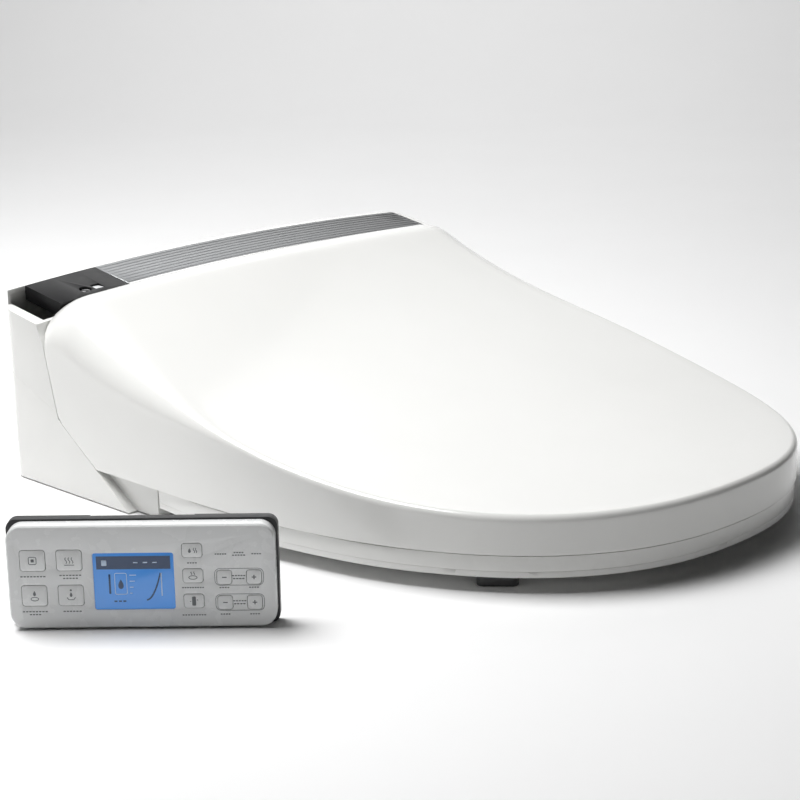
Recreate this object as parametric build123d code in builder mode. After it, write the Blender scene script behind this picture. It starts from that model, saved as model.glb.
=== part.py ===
from build123d import *
import os
from math import atan2, cos, degrees, pi, radians, sin, sqrt, tan

# An electric bidet seat: a case behind the bowl, a heated seat ring and a lid on one hinge line, a
# nozzle, a warm-air dryer and a deodoriser inside the case, and a remote in its wall bracket.
# Millimetres. +Z up, +Y towards the tank, +X to the right seen from the nose of the seat.
# The origin lies midway between the two bowl bolts, on the rim of the bowl.

# ---- driving dimensions: outline ----
nose_y = -420.0          # tip of the lid
rear_y = 75.0            # back face of the case
half_width = 200.5       # widest half of the lid
rear_half = 196.0        # half width at the back
nose_length = 289.4      # from the tip back to the widest place
nose_power = 2.32        # squareness of the nose
corner_r = 16.0          # upright rear corners of the case
# ---- lid ----
wall = 3.0               # every moulded cover
lid_low = 24.5           # lower edge of the lid
lid_nose_z = 51.0        # top of the lid at the tip, in the middle and at the back
lid_mid_z = 70.0
lid_rear_z = 153.0
crest_z = 139.5          # highest line of the lid, above the hinge
crown_drop = 6.5         # how far the crowned top falls at the crown's half width
crown_half = 190.0
shoulder_r = 34.0        # rounded shoulders at the back
rear_fall = 8.5          # how far the top falls behind the hinge, down to the rear band
lip_end = 12.0           # degrees above level at which the rear lip stops
# ---- hinge ----
hinge_y = 8.0
hinge_z = 120.0
shaft_r = 4.0
knuckle_r = 10.0
lip_side = 21.6          # radius of the lid's rear lip at the sides and in the middle
lip_mid = 25.2
boss_x = (100.0, 148.0)
knuckle_x = (150.0, 170.0)
lug_x = (172.0, 184.0)
damper_r = 7.0
damper_l = 30.0
# ---- clearances ----
run = 0.05               # radial play of a shaft in its bore
gap = 0.9                # between moving covers
seat_gap = 2.5           # between the lid's wall and the seat
# ---- case ----
case_low = 1.2           # skirt above the rim
floor_z = 5.0            # underside of the floor
cheek = 191.5            # half width of the case inside the lid's wings
front_y = -84.0          # lower front face
front_z = 56.0
edge_y = -16.0           # where the sloping front meets the hinge trough
edge_z = 103.0
split_front_z = 20.0     # line between base and top cover, rising to the back
split_rear_z = 80.0
strip_drop = 7.0         # the rear band falls this much towards the lid
strip_rear_z = 140.8     # top of the rear band
band_depth = 10.0        # height of the trim block and of the sensor panel
band_front_y = 33.0
band_rear_y = 71.0
panel_split_x = -114.5   # between the sensor panel and the trim
panel_end_x = -176.0
trim_end_x = 192.0
# side seam between the lid's wing and the case, below the hinge
seam_angle = -38.0
seam_knee = (12.0, 52.0)
seam_foot = (-57.0, 5.0)
# ---- seat ----
seat_low = 10.0
seat_flush = 1.0         # seat edge stands this far inside the lid's outline
seat_plate = 4.0
seat_round = 6.0         # rounding of the seat's top, at the hole and outside
seat_top_z = (32.0, 37.0, 47.0, 66.0, 93.0, 116.0)
hole_center_y = -222.0
hole_half_x = 108.0
hole_half_y = 128.0
arch_half_x = 122.0      # clearance under the back of the seat for the nozzle and dryer
# ---- feet ----
foot = (26.0, 14.0)
foot_places = ((-133.0, -335.0), (133.0, -335.0), (-158.0, -150.0), (158.0, -150.0))
# ---- nozzle ----
nozzle_angle = 27.0      # degrees below level
port_z = 33.0
port = (34.0, 30.0)      # opening in the front face
nozzle_r = 8.0
nozzle_length = 104.0
guide_wall = 3.0
# ---- dryer ----
dryer_x = -82.0
dryer_port = (46.0, 24.0)
dryer_z = 31.0
fan_r = 26.0
fan_h = 24.0
fan_y = 18.0
# ---- deodoriser ----
slot_y = (34.0, 62.0)
slot_z = (44.0, 74.0)
cartridge_l = 62.0
# ---- water and power ----
inlet_r = 10.4           # half-inch pipe thread
inlet_x = 130.0
inlet_z = 26.0
cable_r = 4.0
gland_r = 8.0
gland_x = -150.0
bolt_spacing = 140.0
bolt_hole_r = 6.25
plate_z = 4.4
plate_half_x = 94.0
# ---- remote ----
remote_at = (-309.5, -218.6, 0.0)
remote_yaw = -47.3
remote_w = 156.3
remote_h = 64.7
remote_d = 19.0
remote_lip = 1.2         # how far the dark back stands out round the front
key_travel = 0.8

os.makedirs("parts", exist_ok=True)
pieces = {}
WIDE = 2 * half_width + 60
slope = (edge_z - front_z) / (edge_y - front_y)
slope_len = sqrt(1 + slope**2)
arch_z = front_z + 4


def keep(name, builder):
    """Files a finished piece under its name."""
    pieces[name] = builder


def hinge_at(r, angle):
    """A point at a radius and angle from the hinge line, in the side view."""
    return (hinge_y + r * cos(radians(angle)), hinge_z + r * sin(radians(angle)))


def slope_z(y, inset=0.0):
    """Height of the sloping front of the case, or of the same slope moved inwards."""
    return front_z + (y - front_y) * slope - inset * slope_len


def plan_outline(inset, rear=rear_y):
    """Adds the outline seen from above, moved inwards, to the open sketch."""
    a, b = half_width - inset, nose_length - inset
    ring = [
        (a * sin(t) ** (2 / nose_power), nose_y + nose_length - b * cos(t) ** (2 / nose_power))
        for t in [pi / 2 * k / 8 for k in range(1, 9)]
    ]
    with BuildLine() as outline:
        Spline((0, nose_y + inset), *ring, tangents=((1, 0), (0, 1)))
        Line(ring[-1], (rear_half - inset, rear))
        Line((rear_half - inset, rear), (0, rear))
        mirror(about=Plane.YZ)
    make_face(outline.edges())


def lid_height(y):
    """Height of the lid's top along its length."""
    s = (y - nose_y) / (rear_y - 35 - nose_y)
    a = 2 * (lid_nose_z - 2 * lid_mid_z + lid_rear_z)
    return lid_nose_z + s * (lid_rear_z - lid_nose_z - a) + a * s * s


def crown_face(inset):
    """Adds the front view of the crowned top with its round shoulders, moved inwards."""
    x = half_width - inset
    top = crest_z - inset
    side_z = top - crown_drop * (x / crown_half) ** 2
    with BuildLine() as outline:
        ThreePointArc((-x, side_z), (0, top), (x, side_z))
        Polyline((x, side_z), (x, -60), (-x, -60), (-x, side_z))
    face = make_face(outline.edges(), mode=Mode.PRIVATE)
    corners = [v for v in face.vertices() if v.Y > 0]
    add(face.faces()[0].fillet_2d(shoulder_r - inset, corners))


def barrel(grow, mode):
    """Adds or cuts the swept space of the lid's rear lip, wider in the middle, round the hinge."""
    reach = WIDE / 2
    with BuildSketch(Plane(origin=(0, hinge_y, hinge_z), x_dir=(1, 0, 0), z_dir=(0, -1, 0))) as side:
        with BuildLine():
            ThreePointArc((-reach, lip_side + grow), (0, lip_mid + grow), (reach, lip_side + grow))
            Polyline((reach, lip_side + grow), (reach, 0), (-reach, 0), (-reach, lip_side + grow))
        make_face()
    revolve(side.sketch, axis=Axis((0, hinge_y, hinge_z), (1, 0, 0)), mode=mode)


def lid_form(inset, tail=True):
    """The lid's outer form, or the same form one wall further in."""
    with BuildSketch(Plane.XY.offset(lid_low - inset)) as outline:
        plan_outline(inset)
    extrude(outline.sketch, amount=crest_z)
    stations = [nose_y + (hinge_y - nose_y) * k for k in (0, 0.28, 0.56, 0.74, 0.9)]
    with BuildSketch(Plane.YZ) as side:
        with BuildLine():
            top = Spline(*[(y, lid_height(y) - inset) for y in stations],
                         (hinge_y, crest_z + 3 - inset), tangents=((1, -0.05), (1, 0.1)))
            Polyline(top @ 1, (hinge_y + lip_side, crest_z - rear_fall - inset),
                     (rear_y + 10, crest_z - rear_fall - inset), (rear_y + 10, 0), (nose_y - 5, 0),
                     (nose_y - 5, lid_height(nose_y) - inset), top @ 0)
        make_face()
    extrude(side.sketch, amount=WIDE / 2, both=True, mode=Mode.INTERSECT)
    with BuildSketch(Plane.XZ) as front:
        crown_face(inset)
    extrude(front.sketch, amount=2 * WIDE, both=True, mode=Mode.INTERSECT)
    if tail:
        with BuildPart(mode=Mode.PRIVATE) as behind:
            with BuildSketch(Plane.YZ) as strip:
                with Locations((hinge_y, 0)):
                    Rectangle(WIDE, WIDE, align=(Align.MIN, Align.CENTER))
            extrude(strip.sketch, amount=WIDE / 2, both=True)
            barrel(-inset, Mode.SUBTRACT)
        add(behind.part, mode=Mode.SUBTRACT)


def wing_face(grow, top=2 * crest_z):
    """Adds the side view of all that lies in front of the lid's side seam."""
    r = lip_side + 0.8 + grow
    knee = (seam_knee[0] + grow, seam_knee[1])
    run_out = (seam_knee[0] - seam_foot[0]) / (seam_knee[1] - seam_foot[1])
    foot_y = knee[0] - run_out * (knee[1] + 10)
    with BuildLine() as outline:
        ThreePointArc(hinge_at(r, seam_angle), hinge_at(r, 20), hinge_at(r, 90))
        Polyline(hinge_at(r, 90), (hinge_y, top), (nose_y - 20, top), (nose_y - 20, -10),
                 (foot_y, -10), knee, hinge_at(r, seam_angle))
    make_face(outline.edges())


def both_sides(sketch, x0, x1, mode=Mode.ADD):
    """Extrudes a side view between two distances from the middle, on the left and the right."""
    for side in (-1, 1):
        solid = Pos(min(side * x0, side * x1), 0, 0) * extrude(
            sketch, amount=abs(x1 - x0), mode=Mode.PRIVATE)
        add(solid, mode=mode)


# ---- lid: one moulded shell with wings at its sides and lugs for the hinge ----
with BuildPart() as lid_core:
    lid_form(wall)
with BuildPart() as lid_wings:
    lid_form(0, tail=False)
    with BuildSketch(Plane.XY.offset(-10)) as inside:
        plan_outline(wall, rear_y + 20)
    extrude(inside.sketch, amount=2 * crest_z, mode=Mode.SUBTRACT)
    with BuildSketch(Plane.YZ) as wing_view:
        wing_face(0)
    extrude(wing_view.sketch, amount=WIDE / 2, both=True, mode=Mode.INTERSECT)
    with BuildSketch(Plane.YZ) as wing_front:
        with Locations((front_y, 0)):
            Rectangle(WIDE, WIDE, align=(Align.MIN, Align.CENTER))
    extrude(wing_front.sketch, amount=WIDE / 2, both=True, mode=Mode.INTERSECT)
with BuildPart() as lid_lugs:
    with BuildSketch(Plane.YZ) as lug_view:
        with Locations((hinge_y, hinge_z)):
            Circle(knuckle_r)
        with Locations((hinge_y, hinge_z)):
            Rectangle(2 * knuckle_r, crest_z, align=(Align.CENTER, Align.MIN))
    both_sides(lug_view.sketch, *lug_x)
    with BuildPart(mode=Mode.PRIVATE) as lid_skin:
        lid_form(wall / 2)
    add(lid_skin.part, mode=Mode.INTERSECT)
with BuildPart() as lid:
    lid_form(0)
    add(lid_core.part, mode=Mode.SUBTRACT)
    lip_z = hinge_z + lip_side * sin(radians(lip_end))
    with BuildSketch(Plane.XY.offset(lip_z)) as throat:
        with Locations((0, hinge_y)):
            Rectangle(2 * rear_half + 20, WIDE, align=(Align.CENTER, Align.MIN))
    extrude(throat.sketch, amount=-2 * crest_z, mode=Mode.SUBTRACT)
    with BuildSketch(Plane.YZ) as behind_seam:
        with BuildLine():
            lean = (seam_knee[0] - seam_foot[0]) / (seam_knee[1] - seam_foot[1])
            Polyline(seam_knee, (seam_knee[0] - lean * (seam_knee[1] + 10), -10), (rear_y, -10),
                     (rear_y, seam_knee[1]), seam_knee)
        make_face()
    extrude(behind_seam.sketch, amount=WIDE / 2, both=True, mode=Mode.SUBTRACT)
    add(lid_wings.part)
    add(lid_lugs.part)
    with BuildSketch(Plane.YZ) as lug_bore:
        with Locations((hinge_y, hinge_z)):
            Circle(shaft_r + run)
    both_sides(lug_bore.sketch, lug_x[0] - 1, lug_x[1] + 1, mode=Mode.SUBTRACT)
keep("lid", lid)


def box_between(low, high, mode=Mode.ADD):
    """Adds or cuts a block between two corners."""
    middle = [(a + b) / 2 for a, b in zip(low, high)]
    with Locations(tuple(middle)):
        Box(*[b - a for a, b in zip(low, high)], mode=mode)


def case_form(inset, drop=0.0):
    """The case's outer form, or its cavity one wall further in, with the top lowered by a drop."""
    with BuildSketch(Plane.XY.offset(case_low if inset == 0 else floor_z + inset)) as outline:
        if inset == 0:
            plan_outline(0)
        else:
            with Locations((0, rear_y - inset)):
                Rectangle(2 * (cheek - inset), 2 * rear_y - 2 * front_y,
                          align=(Align.CENTER, Align.MAX))
    block = extrude(outline.sketch, amount=2 * crest_z)
    if inset == 0:
        fillet(block.edges().filter_by(Axis.Z).sort_by(Axis.Y)[-2:], radius=corner_r)
    with BuildSketch(Plane.YZ) as side:
        with BuildLine():
            Polyline((rear_y, 0), (rear_y, 2 * crest_z), (hinge_y, 2 * crest_z),
                     (hinge_y, edge_z - 4), (edge_y, slope_z(edge_y, inset)),
                     (front_y + inset, slope_z(front_y + inset, inset)), (front_y + inset, 0),
                     (rear_y, 0))
        make_face()
    extrude(side.sketch, amount=WIDE / 2, both=True, mode=Mode.INTERSECT)
    tilt = atan2(strip_drop, rear_y - lip_mid - hinge_y)
    top_plane = Plane(origin=(0, rear_y, strip_rear_z - inset - drop), x_dir=(1, 0, 0),
                      z_dir=(0, -cos(tilt), -sin(tilt)))
    fall = crown_drop * (half_width / crown_half) ** 2
    with BuildSketch(top_plane) as top:
        with BuildLine():
            ThreePointArc((-half_width, -fall), (0, 0), (half_width, -fall))
            Polyline((half_width, -fall), (half_width, -WIDE), (-half_width, -WIDE),
                     (-half_width, -fall))
        make_face()
    extrude(top.sketch, amount=WIDE, both=True, mode=Mode.INTERSECT)
    barrel(gap + inset, Mode.SUBTRACT)


# ---- case: base and top cover, cut apart along a line that rises to the back ----
with BuildPart() as case_skin:
    case_form(0)
    with BuildSketch(Plane.YZ) as seam_view:
        wing_face(gap)
    both_sides(seam_view.sketch, cheek, WIDE / 2, mode=Mode.SUBTRACT)
    # room under the floor for the mounting plate, open to the back
    box_between((-cheek + wall, front_y + wall, 0), (cheek - wall, rear_y + 1, floor_z),
                mode=Mode.SUBTRACT)
with BuildPart() as case_core:
    case_form(wall)
with BuildPart() as lowered:
    case_form(0, drop=band_depth)
with BuildPart() as below_split:
    with BuildSketch(Plane.YZ) as split_view:
        with BuildLine():
            rise = (split_rear_z - split_front_z) / (rear_y - front_y)
            Polyline((front_y - 60, -60), (rear_y + 60, -60), (rear_y + 60, split_rear_z + 60 * rise),
                     (front_y - 60, split_front_z - 60 * rise), (front_y - 60, -60))
        make_face()
    extrude(split_view.sketch, amount=WIDE / 2, both=True)
case_screws_at = [(-176, -60), (176, -60), (-44, 62), (44, 62)]
post_r, screw_r, screw_l = 5.0, 1.6, 40.0
head_r, head_h = 3.0, 2.0
nozzle_out = (0, -cos(radians(nozzle_angle)), -sin(radians(nozzle_angle)))
nozzle_line = Plane(origin=(0, front_y, port_z), x_dir=(1, 0, 0), z_dir=nozzle_out)
with BuildPart() as ports:
    box_between((-port[0] / 2, front_y - 5, port_z - port[1] / 2),
                (port[0] / 2, front_y + wall + 1, port_z + port[1] / 2))
    box_between((dryer_x - dryer_port[0] / 2, front_y - 5, dryer_z - dryer_port[1] / 2),
                (dryer_x + dryer_port[0] / 2, front_y + wall + 1, dryer_z + dryer_port[1] / 2))
    with Locations(Plane(origin=(gland_x, rear_y, inlet_z), z_dir=(0, 1, 0))):
        Cylinder(gland_r, 4 * wall)
    with Locations(Plane(origin=(inlet_x, rear_y, inlet_z), z_dir=(0, 1, 0))):
        Cylinder(inlet_r + 1, 4 * wall)
    box_between((cheek - 2 * wall, slot_y[0], slot_z[0]), (rear_half + wall, slot_y[1], slot_z[1]))
    with BuildSketch(Plane.YZ.offset(dryer_x - dryer_port[0] / 2 - 2.2)) as flap_holes:
        with Locations((front_y + wall / 2, dryer_z + dryer_port[1] / 2 - 2)):
            Circle(0.9 + run)
    extrude(flap_holes.sketch, amount=dryer_port[0] + 4.4)
button_at = (rear_half, 52.0, 88.0)
drain_at = (rear_half, 50.0, 20.0)
with BuildPart() as side_holes:
    with Locations(Plane(origin=button_at, z_dir=(1, 0, 0))):
        Cylinder(9, 5 * wall)
    with Locations(Plane(origin=drain_at, z_dir=(1, 0, 0))):
        Cylinder(8, 5 * wall)

with BuildPart() as case_posts:
    with BuildSketch(Plane.XY.offset(floor_z + 1)) as posts:
        with Locations(*case_screws_at):
            Circle(post_r)
    extrude(posts.sketch, amount=2 * crest_z)
    with BuildPart(mode=Mode.PRIVATE) as post_room:
        case_form(wall / 2)
    add(post_room.part, mode=Mode.INTERSECT)

with BuildPart() as base_case:
    add(case_skin.part)
    add(case_core.part, mode=Mode.SUBTRACT)
    add(below_split.part, mode=Mode.INTERSECT)
    with BuildPart(mode=Mode.PRIVATE) as low_posts:
        add(case_posts.part)
        add(below_split.part, mode=Mode.INTERSECT)
    add(low_posts.part)
    # socket of the drain and rails beside the mounting plate
    with BuildSketch(Plane.YZ.offset(drain_at[0] - 24)) as socket:
        with Locations(drain_at[1:]):
            Circle(7)
        with Locations((drain_at[1], floor_z + 1)):
            Rectangle(10, drain_at[2] - floor_z, align=(Align.CENTER, Align.MIN))
    extrude(socket.sketch, amount=14)
    with BuildSketch(Plane.YZ.offset(drain_at[0] - 23)) as socket_bore:
        with Locations(drain_at[1:]):
            Circle(shaft_r + run)
    extrude(socket_bore.sketch, amount=30, mode=Mode.SUBTRACT)
    for x in (-plate_half_x - 4, plate_half_x + 0.6):
        box_between((x, -30, case_low - 0.4), (x + 3.4, rear_y - 15, floor_z + 1))
    with BuildSketch(Plane.XY.offset(-10)) as screw_holes:
        with Locations(*case_screws_at):
            Circle(screw_r + run)
    extrude(screw_holes.sketch, amount=screw_l + 20, mode=Mode.SUBTRACT)
    with BuildSketch(Plane.XY.offset(floor_z - 1)) as head_holes:
        with Locations(*case_screws_at):
            Circle(head_r + 0.3)
    extrude(head_holes.sketch, amount=head_h + 1.1, mode=Mode.SUBTRACT)
    add(ports.part, mode=Mode.SUBTRACT)
    add(side_holes.part, mode=Mode.SUBTRACT)
keep("base_case", base_case)

with BuildPart() as top_cover:
    add(case_skin.part)
    add(case_core.part, mode=Mode.SUBTRACT)
    add(case_posts.part)
    add(below_split.part, mode=Mode.SUBTRACT)
    with BuildSketch(Plane.XY.offset(-10)) as cover_holes:
        with Locations(*case_screws_at):
            Circle(screw_r + run)
    extrude(cover_holes.sketch, amount=screw_l + 20, mode=Mode.SUBTRACT)
    # hinge bosses, carried on the sloping front
    with BuildSketch(Plane.YZ) as boss_view:
        with Locations((hinge_y, hinge_z)):
            Circle(knuckle_r + 1)
        with BuildLine():
            Polyline((edge_y - 14, slope_z(edge_y - 14, wall)), (edge_y - 14, slope_z(edge_y - 14)),
                     (hinge_y - 5, hinge_z + knuckle_r - 0.2), (hinge_y, hinge_z - knuckle_r),
                     (edge_y - 14, slope_z(edge_y - 14, wall)))
        make_face()
    both_sides(boss_view.sketch, *boss_x)
    with BuildSketch(Plane.YZ) as shaft_view:
        with Locations((hinge_y, hinge_z)):
            Circle(shaft_r + run)
    both_sides(shaft_view.sketch, boss_x[0] - 1, boss_x[1] + 1, mode=Mode.SUBTRACT)
    with BuildSketch(Plane.YZ) as damper_view:
        with Locations((hinge_y, hinge_z)):
            Circle(damper_r + run)
    both_sides(damper_view.sketch, boss_x[0] - 1, boss_x[0] + damper_l, mode=Mode.SUBTRACT)
    add(ports.part, mode=Mode.SUBTRACT)
    add(side_holes.part, mode=Mode.SUBTRACT)
    # seats for the trim band and the sensor panel
    with BuildPart(mode=Mode.PRIVATE) as band_room:
        box_between((panel_split_x, band_front_y, 0), (trim_end_x, band_rear_y, 2 * crest_z))
        box_between((-WIDE, 0, 0), (panel_split_x, band_rear_y, 2 * crest_z))
        add(lowered.part, mode=Mode.SUBTRACT)
    add(band_room.part, mode=Mode.SUBTRACT)
keep("top_cover", top_cover)


def top_z(x, y):
    """Height of the case's crowned top."""
    return strip_rear_z - crown_drop * (x / crown_half) ** 2 - (rear_y - y) * strip_drop / (
        rear_y - lip_mid - hinge_y)


def disc(name, origin, direction, r, length, bore=0.0):
    """A finished piece that is a plain cylinder or ring along a direction from a point."""
    with BuildPart() as piece:
        with BuildSketch(Plane(origin=origin, z_dir=direction)):
            Circle(r)
            if bore:
                Circle(bore, mode=Mode.SUBTRACT)
        extrude(amount=length)
    keep(name, piece)


# ---- rear band: a brushed trim block and a dark sensor panel with its lens and button ----
with BuildPart() as trim_strip:
    add(case_skin.part)
    with BuildPart(mode=Mode.PRIVATE) as trim_room:
        box_between((panel_split_x, band_front_y, 0), (trim_end_x, band_rear_y, 2 * crest_z))
        add(lowered.part, mode=Mode.SUBTRACT)
    add(trim_room.part, mode=Mode.INTERSECT)
keep("trim_strip", trim_strip)
lens_at = (panel_split_x - 32, 41.0)
power_at = (panel_split_x - 21.5, 41.0)
button_half, button_depth, lens_r = 3.5, 3.0, 4.5
lens_z = top_z(*lens_at)
power_z = top_z(*power_at)
with BuildPart() as sensor_panel:
    add(case_skin.part)
    with BuildPart(mode=Mode.PRIVATE) as panel_room:
        box_between((panel_end_x, 0, 0), (panel_split_x - 0.3, band_rear_y, 2 * crest_z))
        add(lowered.part, mode=Mode.SUBTRACT)
    add(panel_room.part, mode=Mode.INTERSECT)
    with Locations((*lens_at, lens_z)):
        Cylinder(lens_r, 2 * button_depth, mode=Mode.SUBTRACT)
    with Locations((*power_at, power_z)):
        Box(2 * button_half + 0.6, 2 * button_half + 0.6, 2 * button_depth + 4, mode=Mode.SUBTRACT)
keep("sensor_panel", sensor_panel)
disc("sensor_lens", (*lens_at, lens_z - button_depth), (0, 0, 1), lens_r - 0.1, button_depth - 0.8)
with BuildPart() as power_button:
    with Locations((*power_at, power_z - button_depth / 2 - 0.7)):
        Box(2 * button_half, 2 * button_half, button_depth)
keep("power_button", power_button)

# ---- hinge: a shaft and a slow-close damper at each side ----
with BuildPart() as hinge_dampers:
    with BuildSketch(Plane.YZ) as damper_end:
        with Locations((hinge_y, hinge_z)):
            Circle(damper_r)
    both_sides(damper_end.sketch, boss_x[0] - 2, boss_x[0] + damper_l)
keep("hinge_dampers", hinge_dampers)
with BuildPart() as hinge_shafts:
    with BuildSketch(Plane.YZ) as shaft_end:
        with Locations((hinge_y, hinge_z)):
            Circle(shaft_r)
    both_sides(shaft_end.sketch, boss_x[0] + damper_l, lug_x[1] + 2)
keep("hinge_shafts", hinge_shafts)

# ---- seat ring: heated top shell, base plate, heater foil and rubber feet ----
seat_rear = edge_y + 2
ring_rear = front_y - 6
arch_front = ring_rear - 36
seat_stations = [nose_y + (seat_rear - nose_y) * k for k in (0, 0.22, 0.54, 0.74, 0.89, 1)]


def seat_form(inset):
    """The seat ring's raised form, or its cavity one wall further in and open below."""
    with BuildSketch(Plane.XY.offset(-crest_z)) as ring:
        plan_outline(wall + seat_gap + inset, seat_rear)
        with Locations((0, hole_center_y)):
            Ellipse(hole_half_x + inset, hole_half_y + inset, mode=Mode.SUBTRACT)
    extrude(ring.sketch, amount=3 * crest_z)
    rise = seat_gap + inset
    with BuildSketch(Plane.YZ) as side:
        with BuildLine():
            top = Spline(*[(y, z - inset) for y, z in zip(seat_stations, seat_top_z)])
            Polyline(top @ 1, (seat_rear - inset, slope_z(seat_rear - inset) + rise),
                     (ring_rear - inset, slope_z(ring_rear - inset) + rise),
                     (ring_rear - inset, seat_low + seat_plate - 5 * inset),
                     (nose_y - 5, seat_low + seat_plate - 5 * inset), (nose_y - 5, top.start_point().Y),
                     top @ 0)
        make_face()
    extrude(side.sketch, amount=WIDE / 2, both=True, mode=Mode.INTERSECT)
    # arch under the back for the nozzle and the dryer, and gaps for the hinge bosses
    box_between((-arch_half_x - inset, ring_rear - 36 - inset, -50),
                (arch_half_x + inset, seat_rear + 50, arch_z - 10 + inset), mode=Mode.SUBTRACT)
    for side_x in (-1, 1):
        ends = sorted((side_x * (boss_x[0] - 1.5 - inset), side_x * (boss_x[1] + 1.5 + inset)))
        box_between((ends[0], edge_y - 16 - inset, 0), (ends[1], seat_rear + 50, 2 * crest_z),
                    mode=Mode.SUBTRACT)


with BuildPart() as seat_core:
    seat_form(wall)
with BuildPart() as seat_arch:
    box_between((-arch_half_x, ring_rear - 36, -50), (arch_half_x, seat_rear, lid_low + 20))
with BuildPart() as seat_edge:
    with BuildSketch(Plane.XY.offset(seat_low)) as edge:
        plan_outline(seat_flush, ring_rear)
        with Locations((0, hole_center_y)):
            Ellipse(hole_half_x, hole_half_y, mode=Mode.SUBTRACT)
    extrude(edge.sketch, amount=lid_low - gap - seat_low)
    add(seat_arch.part, mode=Mode.SUBTRACT)
with BuildPart() as seat_plate_room:
    with BuildSketch(Plane.XY.offset(seat_low)) as plate_room:
        Rectangle(WIDE, -4 * nose_y)
    extrude(plate_room.sketch, amount=seat_plate)
with BuildPart() as seat_bottom:
    add(seat_edge.part)
    add(seat_plate_room.part, mode=Mode.INTERSECT)
keep("seat_bottom", seat_bottom)
def on_ellipse(p, half_x, half_y, power, y):
    """Whether a point of the seat's top lies on an oval seen from above."""
    reach = (abs(p.X) / half_x) ** power + (max(abs(p.Y - y), 0) / half_y) ** power
    return p.Z > seat_top_z[0] - 2 and abs(reach - 1) < 0.06


with BuildPart() as seat_top:
    seat_form(0)
    for half_x, half_y, power, y in (
            (hole_half_x, hole_half_y, 2, hole_center_y),
            (half_width - wall - seat_gap, nose_length - wall - seat_gap, nose_power,
             nose_y + nose_length)):
        rim = [e for e in seat_top.edges() if e.position_at(0.5).Y < arch_front
               and all(on_ellipse(e.position_at(k), half_x, half_y, power, y) for k in (0.2, 0.5, 0.8))]
        fillet(rim, radius=seat_round)
    add(seat_edge.part)
    add(seat_plate_room.part, mode=Mode.SUBTRACT)
    add(seat_core.part, mode=Mode.SUBTRACT)
    with BuildSketch(Plane.YZ) as knuckle_view:
        with Locations((hinge_y, hinge_z)):
            Circle(knuckle_r)
        with BuildLine():
            Polyline((edge_y - 8, slope_z(edge_y - 8) + seat_gap + 4), (edge_y - 8, seat_top_z[-1] - 7),
                     (hinge_y - 4, hinge_z + 9), (hinge_y, hinge_z), (hinge_y - 4, hinge_z - 9),
                     (edge_y - 8, slope_z(edge_y - 8) + seat_gap + 4))
        make_face()
    both_sides(knuckle_view.sketch, *knuckle_x)
    both_sides(shaft_view.sketch, knuckle_x[0] - 1, knuckle_x[1] + 1, mode=Mode.SUBTRACT)
keep("seat_top", seat_top)
foil = 0.8
with BuildPart() as seat_heater:
    add(seat_core.part.moved(Location((0, 0, -0.3))))
    add(seat_core.part.moved(Location((0, 0, -0.3 - foil))), mode=Mode.SUBTRACT)
    box_between((-half_width, nose_y + 20, seat_low + 3 * seat_plate - 4),
                (half_width, hole_center_y + hole_half_y / 2, crest_z), mode=Mode.INTERSECT)
keep("seat_heater", seat_heater)
with BuildPart() as seat_feet:
    with BuildSketch() as pads:
        for x, y in foot_places:
            angle = degrees(atan2(y - hole_center_y, x)) + 90 if y < hole_center_y else 90
            with Locations(Location((x, y, 0), (0, 0, angle))):
                RectangleRounded(*foot, 4)
    extrude(amount=seat_low)
    fillet(seat_feet.edges().group_by(Axis.Z)[0], radius=1.2)
keep("seat_feet", seat_feet)
with BuildPart() as lid_bumpers:
    with BuildSketch(Plane.XY.offset(seat_top_z[1] + 0.8)) as bumper_view:
        with Locations(*[(sx * x, y) for sx in (-1, 1) for x, y in ((135, -300), (165, -190))]):
            SlotOverall(22, 9, rotation=90)
    extrude(amount=crest_z)
    add(lid_core.part, mode=Mode.INTERSECT)
    with BuildPart(mode=Mode.PRIVATE) as seat_skin:
        seat_form(-0.8)
        with BuildSketch(Plane.XY.offset(-50)) as under:
            Rectangle(2 * WIDE, -4 * nose_y)
        extrude(under.sketch, amount=70)
    add(seat_skin.part, mode=Mode.SUBTRACT)
keep("lid_bumpers", lid_bumpers)

# ---- nozzle: a tube that slides forward and down out of its guide, with its own cover plate ----
tip_front, tip_back = -4.5, -16.0
with BuildPart() as nozzle_tip:
    with BuildSketch(nozzle_line.offset(tip_back)):
        Circle(nozzle_r)
    extrude(amount=tip_front - tip_back)
    with Locations(*[nozzle_line.offset(tip_front - d).location for d in (4, 7)]):
        with Locations((-2, 0), (2, 0)):
            Cylinder(0.7, 3 * nozzle_r, rotation=(90, 0, 0), align=(Align.CENTER,) * 3,
                     mode=Mode.SUBTRACT)
keep("nozzle_tip", nozzle_tip)
with BuildPart() as nozzle_arm:
    with BuildSketch(nozzle_line.offset(-nozzle_length)):
        Circle(nozzle_r)
        Circle(nozzle_r - 2.5, mode=Mode.SUBTRACT)
    extrude(amount=nozzle_length + tip_back)
keep("nozzle_arm", nozzle_arm)
cover_back = front_y - 0.4
with BuildPart() as nozzle_cover:
    with BuildSketch(Plane.XZ.offset(-cover_back)):
        with Locations((0, port_z - 0.2)):
            RectangleRounded(port[0] + 6, port[1] + 2.4, 5)
    extrude(amount=2.2)
    with BuildSketch(nozzle_line.offset(tip_front)) as peg:
        Circle(3)
    extrude(peg.sketch, amount=-tip_front)
keep("nozzle_cover", nozzle_cover)
guide_front, guide_back = -17.0, -72.0
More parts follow.
